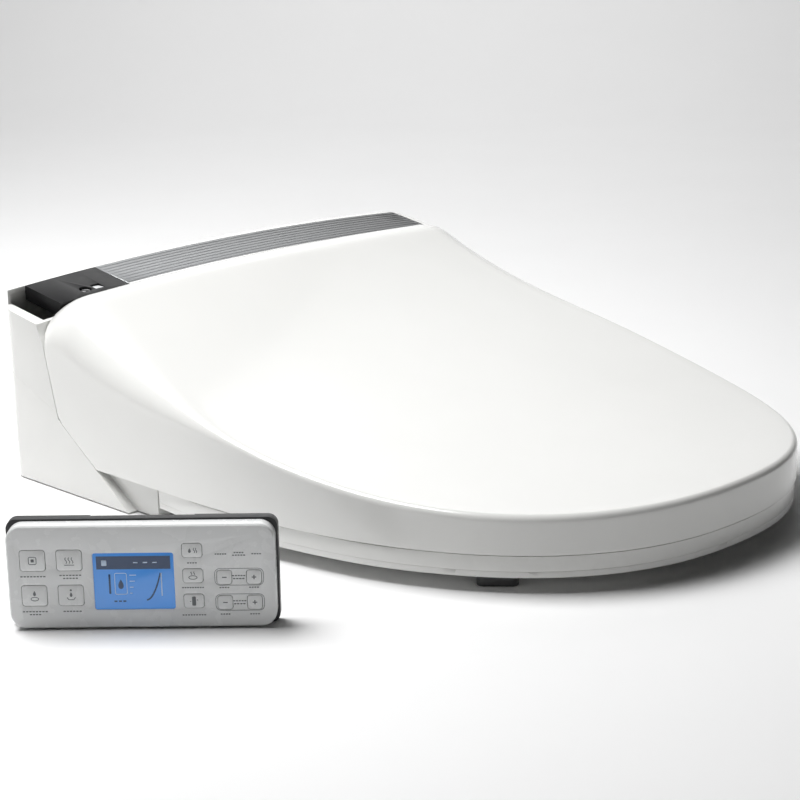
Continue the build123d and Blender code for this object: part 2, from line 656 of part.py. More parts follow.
with BuildPart() as nozzle_guide:
    with BuildSketch(nozzle_line.offset(guide_back)) as sleeve:
        Circle(nozzle_r + guide_wall)
    extrude(sleeve.sketch, amount=guide_front - guide_back)
    with BuildSketch(Plane.YZ) as foot_view:
        with BuildLine():
            drop_tan = tan(radians(nozzle_angle))
            Polyline((-66, floor_z + wall), (-28, floor_z + wall),
                     (-28, port_z + (-28 - front_y) * drop_tan),
                     (-66, port_z + (-66 - front_y) * drop_tan), (-66, floor_z + wall))
        make_face()
    extrude(foot_view.sketch, amount=nozzle_r, both=True)
    with BuildSketch(nozzle_line.offset(-2 * nozzle_length)) as sleeve_bore:
        Circle(nozzle_r + run)
    extrude(sleeve_bore.sketch, amount=3 * nozzle_length, mode=Mode.SUBTRACT)
keep("nozzle_guide", nozzle_guide)
disc("nozzle_motor", (nozzle_r + 0.2, -47, floor_z + wall + 12.3), (1, 0, 0), 12, 22)

# ---- warm-air dryer: scroll and duct, heater, fan, motor and a flap at the outlet ----
floor_top = floor_z + wall
duct_w, duct_z0, duct_z1 = dryer_port[0] - 1, dryer_z - 11.5, dryer_z + 11.5
skin = 1.8
with BuildPart() as dryer_duct:
    with Locations((dryer_x, fan_y, floor_top)):
        Cylinder(fan_r + 5, duct_z1 - floor_top, align=(Align.CENTER, Align.CENTER, Align.MIN))
    box_between((dryer_x - duct_w / 2, front_y + wall + 0.2, duct_z0),
                (dryer_x + duct_w / 2, fan_y, duct_z1))
    with Locations((dryer_x, fan_y, floor_top + skin)):
        Cylinder(fan_r + 5 - skin, duct_z1 - floor_top - 2 * skin,
                 align=(Align.CENTER, Align.CENTER, Align.MIN), mode=Mode.SUBTRACT)
    box_between((dryer_x - duct_w / 2 + skin, front_y, duct_z0 + skin),
                (dryer_x + duct_w / 2 - skin, fan_y, duct_z1 - skin), mode=Mode.SUBTRACT)
    with Locations((dryer_x, fan_y, duct_z1)):
        Cylinder(fan_r - 8, 4 * skin, mode=Mode.SUBTRACT)
    for angle in (0, 90):
        with Locations(Location((dryer_x, fan_y, duct_z1 - skin / 2), (0, 0, angle))):
            Box(2 * fan_r, 5, skin)
    with Locations((dryer_x, fan_y, duct_z1)):
        Cylinder(2 + run, 8 * skin, mode=Mode.SUBTRACT)
keep("dryer_duct", dryer_duct)
fins = 9
with BuildPart() as dryer_heater:
    fin_w = duct_w - 2 * skin - 0.6
    box_between((dryer_x - fin_w / 2, -58, duct_z0 + skin), (dryer_x + fin_w / 2, -34, duct_z0 + skin + 2))
    for k in range(fins):
        x = dryer_x - fin_w / 2 + 1 + k * (fin_w - 2) / (fins - 1)
        box_between((x - 0.6, -58, duct_z0 + skin), (x + 0.6, -34, duct_z1 - skin - 0.4))
keep("dryer_heater", dryer_heater)
motor_shaft_r = 2.0
with BuildPart() as dryer_motor:
    with BuildSketch(Plane.XY.offset(duct_z1)) as motor_view:
        with Locations((dryer_x, fan_y)):
            Circle(15)
    extrude(motor_view.sketch, amount=22)
    with BuildSketch(Plane.XY.offset(duct_z1)) as spindle:
        with Locations((dryer_x, fan_y)):
            Circle(motor_shaft_r)
    extrude(spindle.sketch, amount=-fan_h - 2)
keep("dryer_motor", dryer_motor)
with BuildPart() as dryer_impeller:
    fan_low = floor_top + skin + 2.4
    with BuildSketch(Plane.XY.offset(fan_low)) as back_plate:
        with Locations((dryer_x, fan_y)):
            Circle(fan_r)
            Circle(motor_shaft_r + run, mode=Mode.SUBTRACT)
    extrude(back_plate.sketch, amount=2)
    with BuildSketch(Plane.XY.offset(fan_low)) as hub:
        with Locations((dryer_x, fan_y)):
            Circle(6)
            Circle(motor_shaft_r + run, mode=Mode.SUBTRACT)
    extrude(hub.sketch, amount=fan_h - 4)
    with BuildSketch(Plane.XY.offset(fan_low)) as blades:
        with Locations((dryer_x, fan_y)):
            with PolarLocations(fan_r - 4, 18):
                Rectangle(7, 1.4, rotation=35)
    extrude(blades.sketch, amount=fan_h - 2)
keep("dryer_impeller", dryer_impeller)
flap_w = dryer_port[0] - 1
flap_pin = Plane(origin=(dryer_x - flap_w / 2 - 2, front_y + wall / 2, dryer_z + dryer_port[1] / 2 - 2),
                 x_dir=(0, 1, 0), z_dir=(1, 0, 0))
flap_axis = (flap_pin.origin.Y, flap_pin.origin.Z)
with BuildPart() as dryer_flap:
    box_between((dryer_x - flap_w / 2, flap_axis[0] - 1, dryer_z - dryer_port[1] / 2 + 0.5),
                (dryer_x + flap_w / 2, flap_axis[0] + 1, flap_axis[1]))
    with BuildSketch(flap_pin.offset(2)) as barrel_view:
        Circle(1.4)
    extrude(barrel_view.sketch, amount=flap_w)
    with BuildSketch(flap_pin) as pin_view:
        Circle(0.9)
    extrude(pin_view.sketch, amount=flap_w + 4)
keep("dryer_flap", dryer_flap)

# ---- deodoriser: fan and a filter cartridge that pulls out of the side ----
house_x = 112.0
duct_r = 13.0
mid_y, mid_z = sum(slot_y) / 2, sum(slot_z) / 2
cartridge_x0 = rear_half - cartridge_l
with BuildPart() as deodoriser_housing:
    box_between((house_x, slot_y[0] - 2.5, slot_z[0] - 2.5),
                (cheek - wall - 0.2, slot_y[1] + 2.5, slot_z[1] + 2.5))
    box_between((cartridge_x0 - 1, slot_y[0], slot_z[0]), (cheek, slot_y[1], slot_z[1]),
                mode=Mode.SUBTRACT)
    with BuildSketch(Plane.YZ.offset(house_x + 2)) as chamber:
        with Locations((mid_y, mid_z)):
            Circle(duct_r + 0.6)
    extrude(chamber.sketch, amount=cartridge_x0 - house_x, mode=Mode.SUBTRACT)
    with BuildSketch(Plane.YZ.offset(house_x - 1)) as grille:
        with Locations((mid_y, mid_z)):
            with PolarLocations(8, 6):
                Circle(3)
    extrude(grille.sketch, amount=5, mode=Mode.SUBTRACT)
    with BuildSketch(Plane.YZ.offset(house_x)) as stub:
        with Locations((mid_y, mid_z)):
            Circle(motor_shaft_r)
    extrude(stub.sketch, amount=14)
    box_between((148, slot_y[0], floor_top), (160, slot_y[1], slot_z[0] - 1))
keep("deodoriser_housing", deodoriser_housing)
with BuildPart() as deodoriser_fan:
    with BuildSketch(Plane.YZ.offset(house_x + 4)) as fan_hub:
        with Locations((mid_y, mid_z)):
            Circle(5)
            Circle(motor_shaft_r + run, mode=Mode.SUBTRACT)
    extrude(fan_hub.sketch, amount=10)
    with Locations(Plane(origin=(house_x + 9, mid_y, mid_z), z_dir=(1, 0, 0))):
        with PolarLocations(8.5, 7):
            Box(8, 1.2, 9, rotation=(35, 0, 0))
    with BuildSketch(Plane.YZ.offset(house_x)) as fan_bore:
        with Locations((mid_y, mid_z)):
            Circle(motor_shaft_r + run)
    extrude(fan_bore.sketch, amount=40, mode=Mode.SUBTRACT)
keep("deodoriser_fan", deodoriser_fan)
play = 0.35
with BuildPart() as filter_cartridge:
    box_between((cartridge_x0, slot_y[0] + play, slot_z[0] + play),
                (rear_half, slot_y[1] - play, slot_z[1] - play))
    with Locations(*[(cartridge_x0 + 18 + 5.5 * k, mid_y, mid_z) for k in range(5)]):
        Box(3.5, slot_y[1] - slot_y[0] - 8, 2 * (slot_z[1] - slot_z[0]), mode=Mode.SUBTRACT)
    with Locations((rear_half, mid_y, mid_z - 8)):
        Box(8, 16, 8, mode=Mode.SUBTRACT)
keep("filter_cartridge", filter_cartridge)

# ---- water path: instant heater, pump, inlet valve, threaded inlet and drain ----
with BuildPart() as water_heater:
    box_between((48, -64, floor_top), (106, 6, floor_top + 48))
    fillet(water_heater.edges().filter_by(Axis.Z), radius=8)
    fillet(water_heater.faces().sort_by(Axis.Z)[-1].edges(), radius=3)
    for y in (-44, -14):
        with BuildSketch(Plane.XY.offset(floor_top + 48)) as spout:
            with Locations((77, y)):
                Circle(5)
                Circle(3, mode=Mode.SUBTRACT)
        extrude(spout.sketch, amount=6)
keep("water_heater", water_heater)
with BuildPart() as water_pump:
    with BuildSketch(Plane(origin=(150, -66, floor_top + 18), z_dir=(0, 1, 0))) as pump_view:
        Circle(16)
    extrude(pump_view.sketch, amount=46)
    box_between((138, -60, floor_top), (162, -26, floor_top + 8))
    with BuildSketch(Plane(origin=(150, -20, floor_top + 18), z_dir=(0, 1, 0))) as outlet:
        Circle(5)
        Circle(3, mode=Mode.SUBTRACT)
    extrude(outlet.sketch, amount=10)
keep("water_pump", water_pump)
valve_back = 50.0
with BuildPart() as inlet_valve:
    box_between((inlet_x - 14, 6, floor_top), (inlet_x + 14, valve_back, inlet_z + 13))
    fillet(inlet_valve.edges().filter_by(Axis.Z), radius=4)
    with Locations(Plane(origin=(inlet_x, valve_back, inlet_z), z_dir=(0, -1, 0))):
        Hole(6, depth=20)
keep("inlet_valve", inlet_valve)
inlet_out = 12.0
with BuildPart() as water_inlet:
    with BuildSketch(Plane(origin=(inlet_x, valve_back, inlet_z), z_dir=(0, 1, 0))) as nipple:
        Circle(inlet_r)
        Circle(6, mode=Mode.SUBTRACT)
    extrude(nipple.sketch, amount=rear_y + inlet_out - valve_back)
    with BuildSketch(Plane(origin=(inlet_x, rear_y - wall - 3, inlet_z), z_dir=(0, 1, 0))) as flange:
        RegularPolygon(17, 6)
        Circle(inlet_r - 1, mode=Mode.SUBTRACT)
    extrude(flange.sketch, amount=3)
    chamfer(water_inlet.edges().filter_by(GeomType.CIRCLE).sort_by(Axis.Y)[-1:], length=0.8)
keep("water_inlet", water_inlet)
drain_y, drain_z = drain_at[1], drain_at[2]
with BuildPart() as drain_knob:
    with BuildSketch(Plane.YZ.offset(drain_at[0] - 7)) as knob_view:
        with Locations((drain_y, drain_z)):
            Circle(7.4)
            with PolarLocations(7.4, 8):
                Circle(1, mode=Mode.SUBTRACT)
    extrude(knob_view.sketch, amount=8)
    box_between((drain_at[0] + 1, drain_y - 1.2, drain_z - 6), (drain_at[0] + 3, drain_y + 1.2, drain_z + 6))
    with BuildSketch(Plane.YZ.offset(drain_at[0] - 22)) as stem:
        with Locations((drain_y, drain_z)):
            Circle(shaft_r)
    extrude(stem.sketch, amount=15)
keep("drain_knob", drain_knob)
with BuildPart() as release_button:
    by, bz = button_at[1], button_at[2]
    with BuildSketch(Plane.YZ.offset(cheek - wall - 3)) as press_flange:
        with Locations((by, bz)):
            Circle(10.5)
    extrude(press_flange.sketch, amount=2.7)
    with BuildSketch(Plane.YZ.offset(cheek - wall - 1)) as press_view:
        with Locations((by, bz)):
            Circle(8.6)
    extrude(press_view.sketch, amount=rear_half + 1.5 - cheek + wall + 1)
    fillet(release_button.edges().sort_by(Axis.X)[-1:], radius=1)
keep("release_button", release_button)

# ---- electrics ----
with BuildPart() as control_board:
    box_between((-105, rear_y - wall - 3.2, 24), (-12, rear_y - wall - 1.6, 104))
    for x in (-100, -17):
        for z in (29, 99):
            with Locations(Plane(origin=(x, rear_y - wall - 1.6, z), z_dir=(0, 1, 0))):
                Cylinder(2.5, 1.6, align=(Align.CENTER, Align.CENTER, Align.MIN))
    for x, z, w, h in ((-84, 50, 22, 14), (-64, 80, 14, 14), (-25, 44, 11, 20), (-90, 86, 18, 8)):
        box_between((x - w / 2, rear_y - wall - 7, z - h / 2), (x + w / 2, rear_y - wall - 3, z + h / 2))
keep("control_board", control_board)
board_top = floor_top + 4.6
with BuildPart() as power_board:
    box_between((-166, -68, floor_top + 3), (-118, 50, board_top))
    for x in (-162, -122):
        for y in (-64, 46):
            with Locations((x, y, floor_top)):
                Cylinder(2.5, 3.5, align=(Align.CENTER, Align.CENTER, Align.MIN))
    for x, y, r, h in ((-130, 30, 7, 20), (-152, 36, 5, 14), (-128, -56, 5, 16)):
        with Locations((x, y, board_top)):
            Cylinder(r, h, align=(Align.CENTER, Align.CENTER, Align.MIN))
keep("power_board", power_board)
with BuildPart() as transformer:
    box_between((-162, -40, board_top), (-126, 4, board_top + 14))
    box_between((-156, -34, board_top + 14), (-132, -2, board_top + 26))
keep("transformer", transformer)
with BuildPart() as cable_gland:
    with BuildSketch(Plane(origin=(gland_x, rear_y - wall - 3, inlet_z), z_dir=(0, 1, 0))) as sleeve_view:
        Circle(gland_r - run)
        Circle(cable_r, mode=Mode.SUBTRACT)
    extrude(sleeve_view.sketch, amount=wall + 8)
    with BuildSketch(Plane(origin=(gland_x, rear_y, inlet_z), z_dir=(0, 1, 0))) as gland_flange:
        Circle(gland_r + 2.5)
        Circle(cable_r, mode=Mode.SUBTRACT)
    extrude(gland_flange.sketch, amount=2)
keep("cable_gland", cable_gland)
with BuildPart() as case_screws:
    with BuildSketch(Plane.XY.offset(floor_z + 0.1)) as heads:
        with Locations(*case_screws_at):
            Circle(head_r)
            RegularPolygon(1.3, 6, mode=Mode.SUBTRACT)
    extrude(heads.sketch, amount=head_h)
    with BuildSketch(Plane.XY.offset(floor_z + 0.1 + head_h - 0.8)) as shanks:
        with Locations(*case_screws_at):
            Circle(screw_r)
    extrude(shanks.sketch, amount=screw_l)
keep("case_screws", case_screws)

# ---- mounting plate on the bowl, and its two movable bolt inserts ----
insert_half = (17.0, 14.0)
window_half_y = 24.0
with BuildPart() as mounting_plate:
    with BuildSketch() as plate_view:
        with Locations((0, 12)):
            RectangleRounded(2 * plate_half_x, 92, 9)
        with Locations((-bolt_spacing / 2, 0), (bolt_spacing / 2, 0)):
            Rectangle(2 * insert_half[0] + 0.8, 2 * window_half_y, mode=Mode.SUBTRACT)
        with Locations((0, 12)):
            SlotOverall(60, 16, mode=Mode.SUBTRACT)
    extrude(plate_view.sketch, amount=plate_z)
keep("mounting_plate", mounting_plate)
with BuildPart() as bolt_inserts:
    with BuildSketch() as insert_view:
        with Locations((-bolt_spacing / 2, 0), (bolt_spacing / 2, 0)):
            Rectangle(2 * insert_half[0], 2 * insert_half[1])
            Circle(bolt_hole_r, mode=Mode.SUBTRACT)
    extrude(insert_view.sketch, amount=plate_z - 0.6)
keep("bolt_inserts", bolt_inserts)

# ---- remote: upright in its wall bracket, turned outwards ----
turn = radians(remote_yaw)
remote_face = Plane(origin=remote_at, x_dir=(cos(turn), sin(turn), 0), z_dir=(sin(turn), -cos(turn), 0))
back_wall = 2.0
bracket_t = 2.6
back_z = bracket_t + 0.4
front_wall = 2.6
part_z = remote_d - 9.0          # joint between the dark back and the white front
lcd = (-25.7, 14.3, 16.8, 44.8)  # left, bottom, right, top of the display
door_half, door_low = 30.0, 14.0


def on_remote(height):
    """The remote's own plane, moved outwards from the wall."""
    return remote_face.offset(height)


def remote_outline(inset, r):
    """Adds the remote's front outline to the open sketch."""
    with Locations((0, remote_h / 2)):
        RectangleRounded(remote_w - 2 * inset, remote_h - 2 * inset, r)


def remote_block(x0, y0, x1, y1, z0, z1, mode=Mode.ADD, r=0.0):
    """Adds or cuts a block on the remote, from its outline's middle and bottom."""
    with BuildSketch(on_remote(z0)) as block_view:
        with Locations(((x0 + x1) / 2, (y0 + y1) / 2)):
            if r:
                RectangleRounded(x1 - x0, y1 - y0, r)
            else:
                Rectangle(x1 - x0, y1 - y0)
    extrude(block_view.sketch, amount=z1 - z0, mode=mode)


keys = {
    "key_stop": (-62.0, 42.7, 15, 13), "key_dry": (-41.0, 42.7, 15, 13),
    "key_rear_wash": (-62.0, 21.4, 15, 13), "key_front_wash": (-41.0, 21.4, 15, 13),
    "key_water_heat": (29.5, 48.0, 12, 9), "key_seat_heat": (29.5, 32.6, 12, 9),
    "key_air_heat": (29.5, 17.2, 12, 9),
    "key_pressure_less": (47.5, 31.5, 9, 9), "key_pressure_more": (64.5, 31.5, 9, 9),
    "key_position_less": (47.5, 16.1, 9, 9), "key_position_more": (64.5, 16.1, 9, 9),
}
with BuildPart() as remote_back:
    with BuildSketch(on_remote(back_z)) as back_view:
        remote_outline(0, 6)
    extrude(back_view.sketch, amount=part_z - back_z)
    with BuildSketch(on_remote(back_z + back_wall)) as back_room:
        remote_outline(3, 4)
    extrude(back_room.sketch, amount=part_z, mode=Mode.SUBTRACT)
    remote_block(-door_half, door_low, door_half, remote_h + 5, back_z - 1, back_z + back_wall,
                 Mode.SUBTRACT)
    for x in (-45, 45):
        remote_block(x - 3.3, -5, x + 3.3, 40 + 3.4, back_z - 1, back_z + back_wall + 0.2, Mode.SUBTRACT)
    for x in (-65, 65):
        for y in (9, remote_h - 9):
            with BuildSketch(on_remote(back_z + back_wall)) as boss_post:
                with Locations((x, y)):
                    Circle(2.5)
            extrude(boss_post.sketch, amount=part_z - back_z - back_wall)
keep("remote_back", remote_back)
with BuildPart() as remote_front:
    with BuildSketch(on_remote(part_z)) as front_view:
        remote_outline(remote_lip, 9)
    extrude(front_view.sketch, amount=remote_d - part_z)
    chamfer(remote_front.faces().sort_by(Axis(remote_at, tuple(remote_face.z_dir)))[-1].edges(), length=1)
    with BuildSketch(on_remote(part_z)) as front_room:
        remote_outline(remote_lip + 2.5, 7)
    extrude(front_room.sketch, amount=remote_d - part_z - front_wall, mode=Mode.SUBTRACT)
    remote_block(lcd[0] - 2, lcd[1] - 2, lcd[2] + 2, lcd[3] + 2, remote_d - 1.6, remote_d + 1,
                 Mode.SUBTRACT, 1.5)
    remote_block(*lcd, part_z, remote_d, Mode.SUBTRACT)
    for x, y, w, h in keys.values():
        remote_block(x - w / 2, y - h / 2, x + w / 2, y + h / 2, part_z, remote_d + 1,
                     Mode.SUBTRACT, 2)
keep("remote_front", remote_front)
with BuildPart() as lcd_window:
    remote_block(lcd[0] - 1.9, lcd[1] - 1.9, lcd[2] + 1.9, lcd[3] + 1.9, remote_d - 1.6, remote_d - 0.3,
                 r=1.5)
keep("lcd_window", lcd_window)
board_z = part_z + 2.0
with BuildPart() as lcd_display:
    remote_block(lcd[0] + 0.2, lcd[1] + 0.2, lcd[2] - 0.2, lcd[3] - 0.2, board_z + 1.6, remote_d - 1.7)
keep("lcd_display", lcd_display)
with BuildPart() as remote_board:
    remote_block(-72, 5, 72, remote_h - 5, board_z, board_z + 1.5, r=4)
    for x in (-65, 65):
        for y in (9, remote_h - 9):
            with BuildSketch(on_remote(part_z)) as board_post:
                with Locations((x, y)):
                    Circle(2.5)
            extrude(board_post.sketch, amount=board_z - part_z)
keep("remote_board", remote_board)
with BuildPart() as coin_cell:
    with BuildSketch(on_remote(back_z + back_wall + 0.1)) as cell_view:
        with Locations((0, remote_h / 2)):
            Circle(10)
    extrude(cell_view.sketch, amount=3.2)
keep("coin_cell", coin_cell)
with BuildPart() as battery_door:
    remote_block(-door_half + 0.3, door_low + 0.3, door_half - 0.3, remote_h - 0.4, back_z + 0.1,
                 back_z + back_wall - 0.1)
keep("battery_door", battery_door)
with BuildPart() as wall_bracket:
    with BuildSketch(on_remote(0)) as bracket_view:
        with Locations((0, 28)):
            RectangleRounded(110, 56, 5)
        with Locations((0, 12), (0, 46)):
            Circle(2.2, mode=Mode.SUBTRACT)
    extrude(bracket_view.sketch, amount=bracket_t)
    with BuildSketch(on_remote(bracket_t)) as pegs:
        with Locations((-45, 40), (45, 40)):
            Circle(3)
    extrude(pegs.sketch, amount=back_wall)
keep("wall_bracket", wall_bracket)
for key, (x, y, w, h) in keys.items():
    with BuildPart() as cap:
        remote_block(x - w / 2 + 0.3, y - h / 2 + 0.3, x + w / 2 - 0.3, y + h / 2 - 0.3,
                     board_z + 1.5 + key_travel + 0.4, remote_d + 0.3, r=1.7)
    keep(key, cap)

for name, piece in pieces.items():
    piece.part.label = name
    export_step(piece.part, f"parts/{name}.step")
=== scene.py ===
"""An electric bidet seat with its remote: polished shells, a brushed band and a lit display,
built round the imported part, in metres."""

import math

import bmesh
import bpy
import numpy as np
from mathutils import Matrix, Vector
from mathutils.bvhtree import BVHTree


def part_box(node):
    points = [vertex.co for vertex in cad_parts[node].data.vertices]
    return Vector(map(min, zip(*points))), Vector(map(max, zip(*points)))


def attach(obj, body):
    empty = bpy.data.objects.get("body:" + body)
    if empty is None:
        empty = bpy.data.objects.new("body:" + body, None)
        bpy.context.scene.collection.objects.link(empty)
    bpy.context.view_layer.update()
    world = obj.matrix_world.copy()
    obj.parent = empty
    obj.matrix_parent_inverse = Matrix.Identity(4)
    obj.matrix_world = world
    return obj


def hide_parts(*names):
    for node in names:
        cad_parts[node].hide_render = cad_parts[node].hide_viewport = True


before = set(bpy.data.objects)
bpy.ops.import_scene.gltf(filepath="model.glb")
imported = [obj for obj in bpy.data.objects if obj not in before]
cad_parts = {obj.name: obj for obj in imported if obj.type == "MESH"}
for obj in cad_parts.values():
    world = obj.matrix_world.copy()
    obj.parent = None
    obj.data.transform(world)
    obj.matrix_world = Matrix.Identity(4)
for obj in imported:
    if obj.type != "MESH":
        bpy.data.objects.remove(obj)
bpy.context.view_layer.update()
mm = 0.001

# ---- case ----
# The case behind the bowl is two shells of white ABS, injection moulded with a high polish
# and screwed together from below. Every white moulding of the seat shares this finish.


def moulded(name, tint, rough, skin=1400.0, depth=0.00002, stretch=(1, 1, 1), cloud=0.03,
            metal=0.0, coat=0.0, sheen=0.0):
    """A finish with a clouded tint, uneven gloss and a fine skin, drawn out along an axis by stretch."""
    finish = bpy.data.materials.new(name)
    finish.use_nodes = True
    nodes, links = finish.node_tree.nodes, finish.node_tree.links
    shader = nodes["Principled BSDF"]
    place = nodes.new("ShaderNodeTexCoord")
    spread = nodes.new("ShaderNodeMapping")
    spread.inputs["Scale"].default_value = stretch
    links.new(place.outputs["Object"], spread.inputs["Vector"])
    grains = []
    for scale, detail in ((7.0, 3.0), (90.0, 4.0), (skin, 2.0)):
        grain = nodes.new("ShaderNodeTexNoise")
        grain.inputs["Scale"].default_value = scale
        grain.inputs["Detail"].default_value = detail
        links.new(spread.outputs["Vector"], grain.inputs["Vector"])
        grains.append(grain.outputs["Fac"])
    tone = nodes.new("ShaderNodeValToRGB")
    tone.color_ramp.elements[0].position = 0.3
    tone.color_ramp.elements[0].color = (*[c * (1 - cloud) for c in tint], 1)
    tone.color_ramp.elements[1].position = 0.7
    tone.color_ramp.elements[1].color = (*tint, 1)
    links.new(grains[0], tone.inputs["Fac"])
    links.new(tone.outputs["Color"], shader.inputs["Base Color"])
    gloss = nodes.new("ShaderNodeMapRange")
    gloss.inputs["To Min"].default_value = rough * 0.8
    gloss.inputs["To Max"].default_value = rough * 1.25
    links.new(grains[1], gloss.inputs["Value"])
    links.new(gloss.outputs["Result"], shader.inputs["Roughness"])
    relief = nodes.new("ShaderNodeBump")
    relief.inputs["Strength"].default_value = 0.6
    relief.inputs["Distance"].default_value = depth
    links.new(grains[2], relief.inputs["Height"])
    links.new(relief.outputs["Normal"], shader.inputs["Normal"])
    shader.inputs["Metallic"].default_value = metal
    shader.inputs["Coat Weight"].default_value = coat
    shader.inputs["Coat Roughness"].default_value = 0.06
    shader.inputs["Sheen Weight"].default_value = sheen
    return finish


def wear(finish, *nodes):
    """Gives CAD nodes a finish."""
    for node in nodes:
        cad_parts[node].material_slots[0].material = finish


def settle(piece, angle=32):
    """Turns the piece's modifiers into plain mesh and shades it smooth but for its edges."""
    graph = bpy.context.evaluated_depsgraph_get()
    made = bpy.data.meshes.new_from_object(piece.evaluated_get(graph))
    piece.modifiers.clear()
    piece.data = made
    made.shade_smooth()
    made.set_sharp_from_angle(angle=math.radians(angle))
    return piece


def fit(piece, body, slot, *nodes):
    """The piece rides on a body and stands for these nodes, which it hides. The slot is not used."""
    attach(piece, body)
    if nodes:
        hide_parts(*nodes)
    return piece


def rounded_copy(node, edge, finish, name, steps=3):
    """A copy of a moulding with its flats joined and its edges rounded."""
    shape = bmesh.new()
    shape.from_mesh(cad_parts[node].data)
    bmesh.ops.remove_doubles(shape, verts=shape.verts, dist=0.002 * mm)
    bmesh.ops.dissolve_limit(shape, angle_limit=math.radians(0.4), verts=shape.verts, edges=shape.edges)
    mesh = bpy.data.meshes.new(name)
    shape.to_mesh(mesh)
    shape.free()
    mesh.materials.clear()
    mesh.materials.append(finish)
    piece = bpy.data.objects.new(name, mesh)
    bpy.context.scene.collection.objects.link(piece)
    bevel = piece.modifiers.new("edge", "BEVEL")
    bevel.width = edge
    bevel.segments = steps
    bevel.limit_method = "ANGLE"
    bevel.angle_limit = math.radians(38)
    bevel.use_clamp_overlap = True
    return settle(piece)


white_gloss = moulded("white_gloss_abs", (0.84, 0.84, 0.82), 0.17, coat=0.35)
white_satin = moulded("white_satin_abs", (0.78, 0.78, 0.76), 0.38, skin=900, depth=0.00004)
fit(rounded_copy("base_case", 0.7 * mm, white_gloss, "case_base_shell"), "case", "white_gloss", "base_case")
fit(rounded_copy("top_cover", 0.7 * mm, white_gloss, "case_top_shell"), "case", "white_gloss", "top_cover")

# ---- lid ----
# One moulded cover of polished white plastic, 3 mm thick, whose sides run down to the bowl and
# back past the hinge. It turns on two lugs moulded under its rear corners.
lid_low, lid_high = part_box("lid")
shaft_low, shaft_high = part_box("hinge_shafts")
hinge_y = (shaft_low.y + shaft_high.y) / 2
hinge_z = (shaft_low.z + shaft_high.z) / 2
half_width, tip_y = lid_high.x, lid_low.y
rim_z, crest_z = lid_low.z, lid_high.z
widest_y = tip_y + 289.4 * mm
nose_power = 2.32
side_taper = 0.0219
lid_wall = 3 * mm
lip_mid, lip_side, lip_half = 25.2 * mm, 21.6 * mm, 230.5 * mm
lip_stop = math.radians(12)
seam_turn = math.radians(-38)
knee_y, knee_z = 12 * mm, 52 * mm
seam_lean = 69 / 47
top_stations = [(0, 51), (0.28, 53), (0.56, 72.5), (0.74, 94.5), (0.9, 121), (1, 142)]
top_curve = np.polynomial.Polynomial.fit(
    [tip_y + (hinge_y - tip_y) * share for share, height in top_stations],
    [height * mm for share, height in top_stations], 5)
rear_round, nose_round = 34 * mm, 4.5 * mm
crest_blend = 1.4 * mm
rear_fall, fall_from = 10 * mm, 4 * mm
crown_rear, crown_nose = 6.5 * mm, 1.2 * mm


def ease(value, low, high):
    """0 below low, 1 above high and a smooth rise between."""
    share = np.clip((value - low) / (high - low), 0, 1)
    return share * share * (3 - 2 * share)


def lid_surface(share, x_edge, y, drop_round):
    """Height of the lid's outside at a share of its half width, before its skirt."""
    toward_rear = ease(y, tip_y + 0.4 * (hinge_y - tip_y), hinge_y)
    crown = crown_nose + (crown_rear - crown_nose) * toward_rear
    top = top_curve(y)
    top = crest_z - crest_blend * np.log1p(np.exp((crest_z - top) / crest_blend))
    top = top - rear_fall * (np.maximum(y - fall_from, 0) / (hinge_y + lip_mid - fall_from)) ** 2
    return top - crown * (share * x_edge / half_width) ** 2 - drop_round


def edge_radius(y):
    """Radius of the lid's outer edge, small at the nose and broad at the rear."""
    return nose_round + (rear_round - nose_round) * ease(y, tip_y + 0.55 * (hinge_y - tip_y), hinge_y)


def side_at(y):
    """Half width of the lid behind its widest line."""
    return half_width - side_taper * np.maximum(y - widest_y, 0)


def seam_end(x, z):
    """How far back the lid reaches at a height: round the hinge, then down the side seam."""
    radius = lip_mid - (lip_mid - lip_side) * (x / lip_half) ** 2
    turn_y, turn_z = hinge_y + radius * math.cos(seam_turn), hinge_z + radius * math.sin(seam_turn)
    arc = hinge_y + np.sqrt(np.maximum(radius**2 - (z - hinge_z) ** 2, 0))
    upper = knee_y + (z - knee_z) * (turn_y - knee_y) / (turn_z - knee_z)
    lower = knee_y + (z - knee_z) * seam_lean
    return np.where(z > turn_z, arc, np.where(z > knee_z, upper, lower))


flat_steps, round_steps, skirt_steps = 24, 9, 12
fan_steps, cross_steps, lip_steps = 44, 64, 8
flat = np.concatenate([np.linspace(0, 1, flat_steps + 1), np.ones(round_steps + skirt_steps)])
bend = np.concatenate([np.zeros(flat_steps), np.linspace(0, math.pi / 2, round_steps + 1),
                       np.full(skirt_steps, math.pi / 2)])
fall = np.concatenate([np.zeros(flat_steps + round_steps + 1), np.arange(1, skirt_steps + 1) / skirt_steps])


def lid_row(centre_y, outer_x, outer_y):
    """One line of the lid's outside, from its middle over the edge to its rim. The three are arrays."""
    reach = np.hypot(outer_x, outer_y - centre_y)
    radius = edge_radius(outer_y)
    share = (1 - radius / reach) * flat + (radius / reach) * np.sin(bend)
    y = centre_y + share * (outer_y - centre_y)
    z = lid_surface(share, outer_x, y, radius * (1 - np.cos(bend)))
    return np.stack([share * outer_x, y, z + (rim_z - z) * fall], axis=1)


